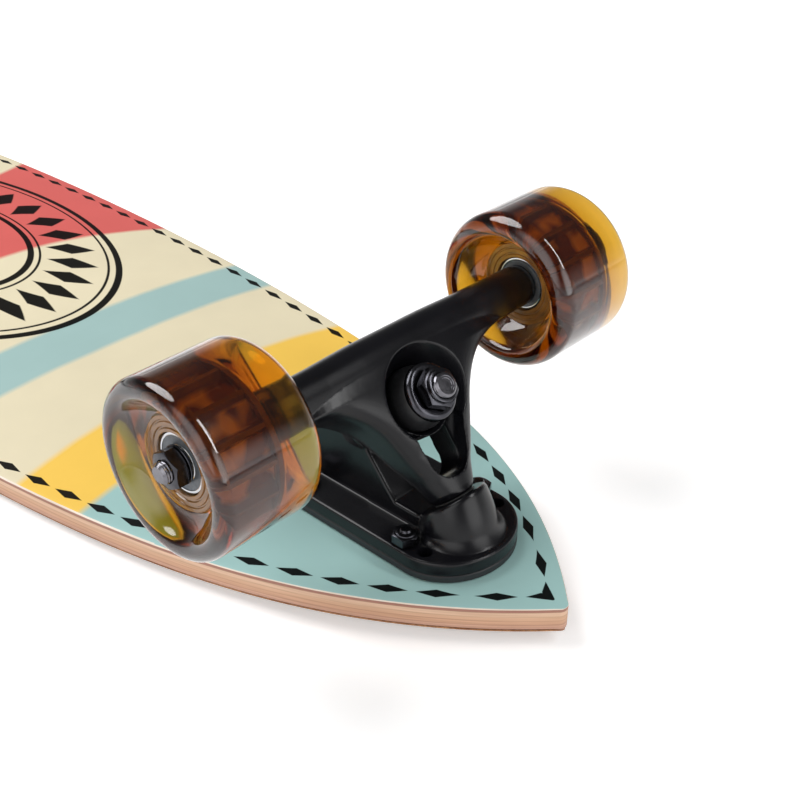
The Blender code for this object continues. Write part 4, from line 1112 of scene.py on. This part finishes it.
def make_floor():
    mesh = bpy.data.meshes.new("floor")
    mesh.from_pydata([(x * FLOOR_HALF, y * FLOOR_HALF, 0)
                      for x, y in ((-1, -1), (1, -1), (1, 1), (-1, 1))], [], [(0, 1, 2, 3)])
    floor = bpy.data.objects.new("floor", mesh)
    floor.location = (0, 0, -FLOOR_DROP)
    bpy.context.scene.collection.objects.link(floor)
    look = Shader("floor", Roughness=0.9)
    look.set("Base Color", look.mix(look.noise(3, 2), (0.91, 0.91, 0.91), (0.94, 0.94, 0.94)))
    look.set("Emission Color", (1, 1, 1))
    camera = look.node("LightPath").outputs["Is Camera Ray"]
    away = look.ramp(look.length(look.position()), FLOOR_WHITE_FROM, FLOOR_WHITE_AT)
    own = look.math("MULTIPLY", camera, look.math("ADD", away, FLOOR_GLOW))
    look.set("Emission Strength", look.math("MULTIPLY_ADD", look.seen(), FLOOR_SEEN_GLOW, own))
    mesh.materials.append(look.material)


def make_world():
    """A plain studio: white for the camera and round the floor, dark overhead, with glows."""
    world = bpy.data.worlds.new("studio")
    bpy.context.scene.world = world
    world.use_nodes = True
    sky = Graph(world.node_tree)
    where = sky.node("TexCoord").outputs["Generated"]
    height = sky.node("SeparateXYZ", {0: where}).outputs["Z"]
    low = sky.ramp(height, 0.0, 0.1, 1 - HORIZON, 0.0, "SMOOTHSTEP")
    level = sky.math("MULTIPLY_ADD", low, sky.seen(),
                     sky.ramp(height, 0.08, 0.36, HORIZON, OVERHEAD, "SMOOTHSTEP"))
    for direction, inner, outer, strength in GLOWS:
        toward = sky.node("VectorMath", {0: where, 1: Vector(direction).normalized()},
                          operation="DOT_PRODUCT").outputs["Value"]
        edges = [math.cos(math.radians(angle)) for angle in (outer, inner)]
        level = sky.math("ADD", level, sky.ramp(toward, *edges, 0.0, strength, "SMOOTHSTEP"))
    camera = sky.node("LightPath").outputs["Is Camera Ray"]
    background = world.node_tree.nodes["Background"]
    sky.feed(background, "Strength", sky.math("MAXIMUM", camera, level))
    sky.feed(background, "Color", (1, 1, 1))


def turn_of(right, back):
    """The rotation with these X and Z axes."""
    return Matrix((right, back.cross(right), back)).transposed().to_4x4()


def lamp(name, shape, toward, size, along, power):
    """An area lamp in a direction from AIM, with its long side along a given direction."""
    data = bpy.data.lights.new(name, "AREA")
    data.shape = shape
    data.size, data.size_y = size
    data.energy = power
    item = bpy.data.objects.new(name, data)
    back = Vector(toward).normalized()
    side = Vector(along).cross(back).normalized()
    item.matrix_world = (Matrix.Translation(Vector(AIM) + back * LAMP_DISTANCE)
                         @ turn_of(side, back))
    bpy.context.scene.collection.objects.link(item)


def make_camera():
    data = bpy.data.cameras.new("camera")
    camera = bpy.data.objects.new("camera", data)
    bpy.context.scene.collection.objects.link(camera)
    turn = turn_of(Vector(CAMERA_RIGHT).normalized(), Vector(CAMERA_BACK).normalized())
    camera.matrix_world = Matrix.Translation(CAMERA_PLACE) @ turn
    data.lens = CAMERA_LENS
    data.sensor_width = 36
    data.shift_x, data.shift_y = CAMERA_SHIFT
    data.clip_start = 0.01
    bpy.context.scene.camera = camera


make_floor()
make_world()
lamp("round", "DISK", (-0.56, -0.2, 0.8), (1.3, 1.3), (0, 1, 0), 23)
lamp("strip", "RECTANGLE", (0.56, 0.35, 0.75), (0.24, 1.2), (0.81, -0.03, -0.59), 8)
make_camera()
bpy.context.scene.view_settings.view_transform = "Standard"
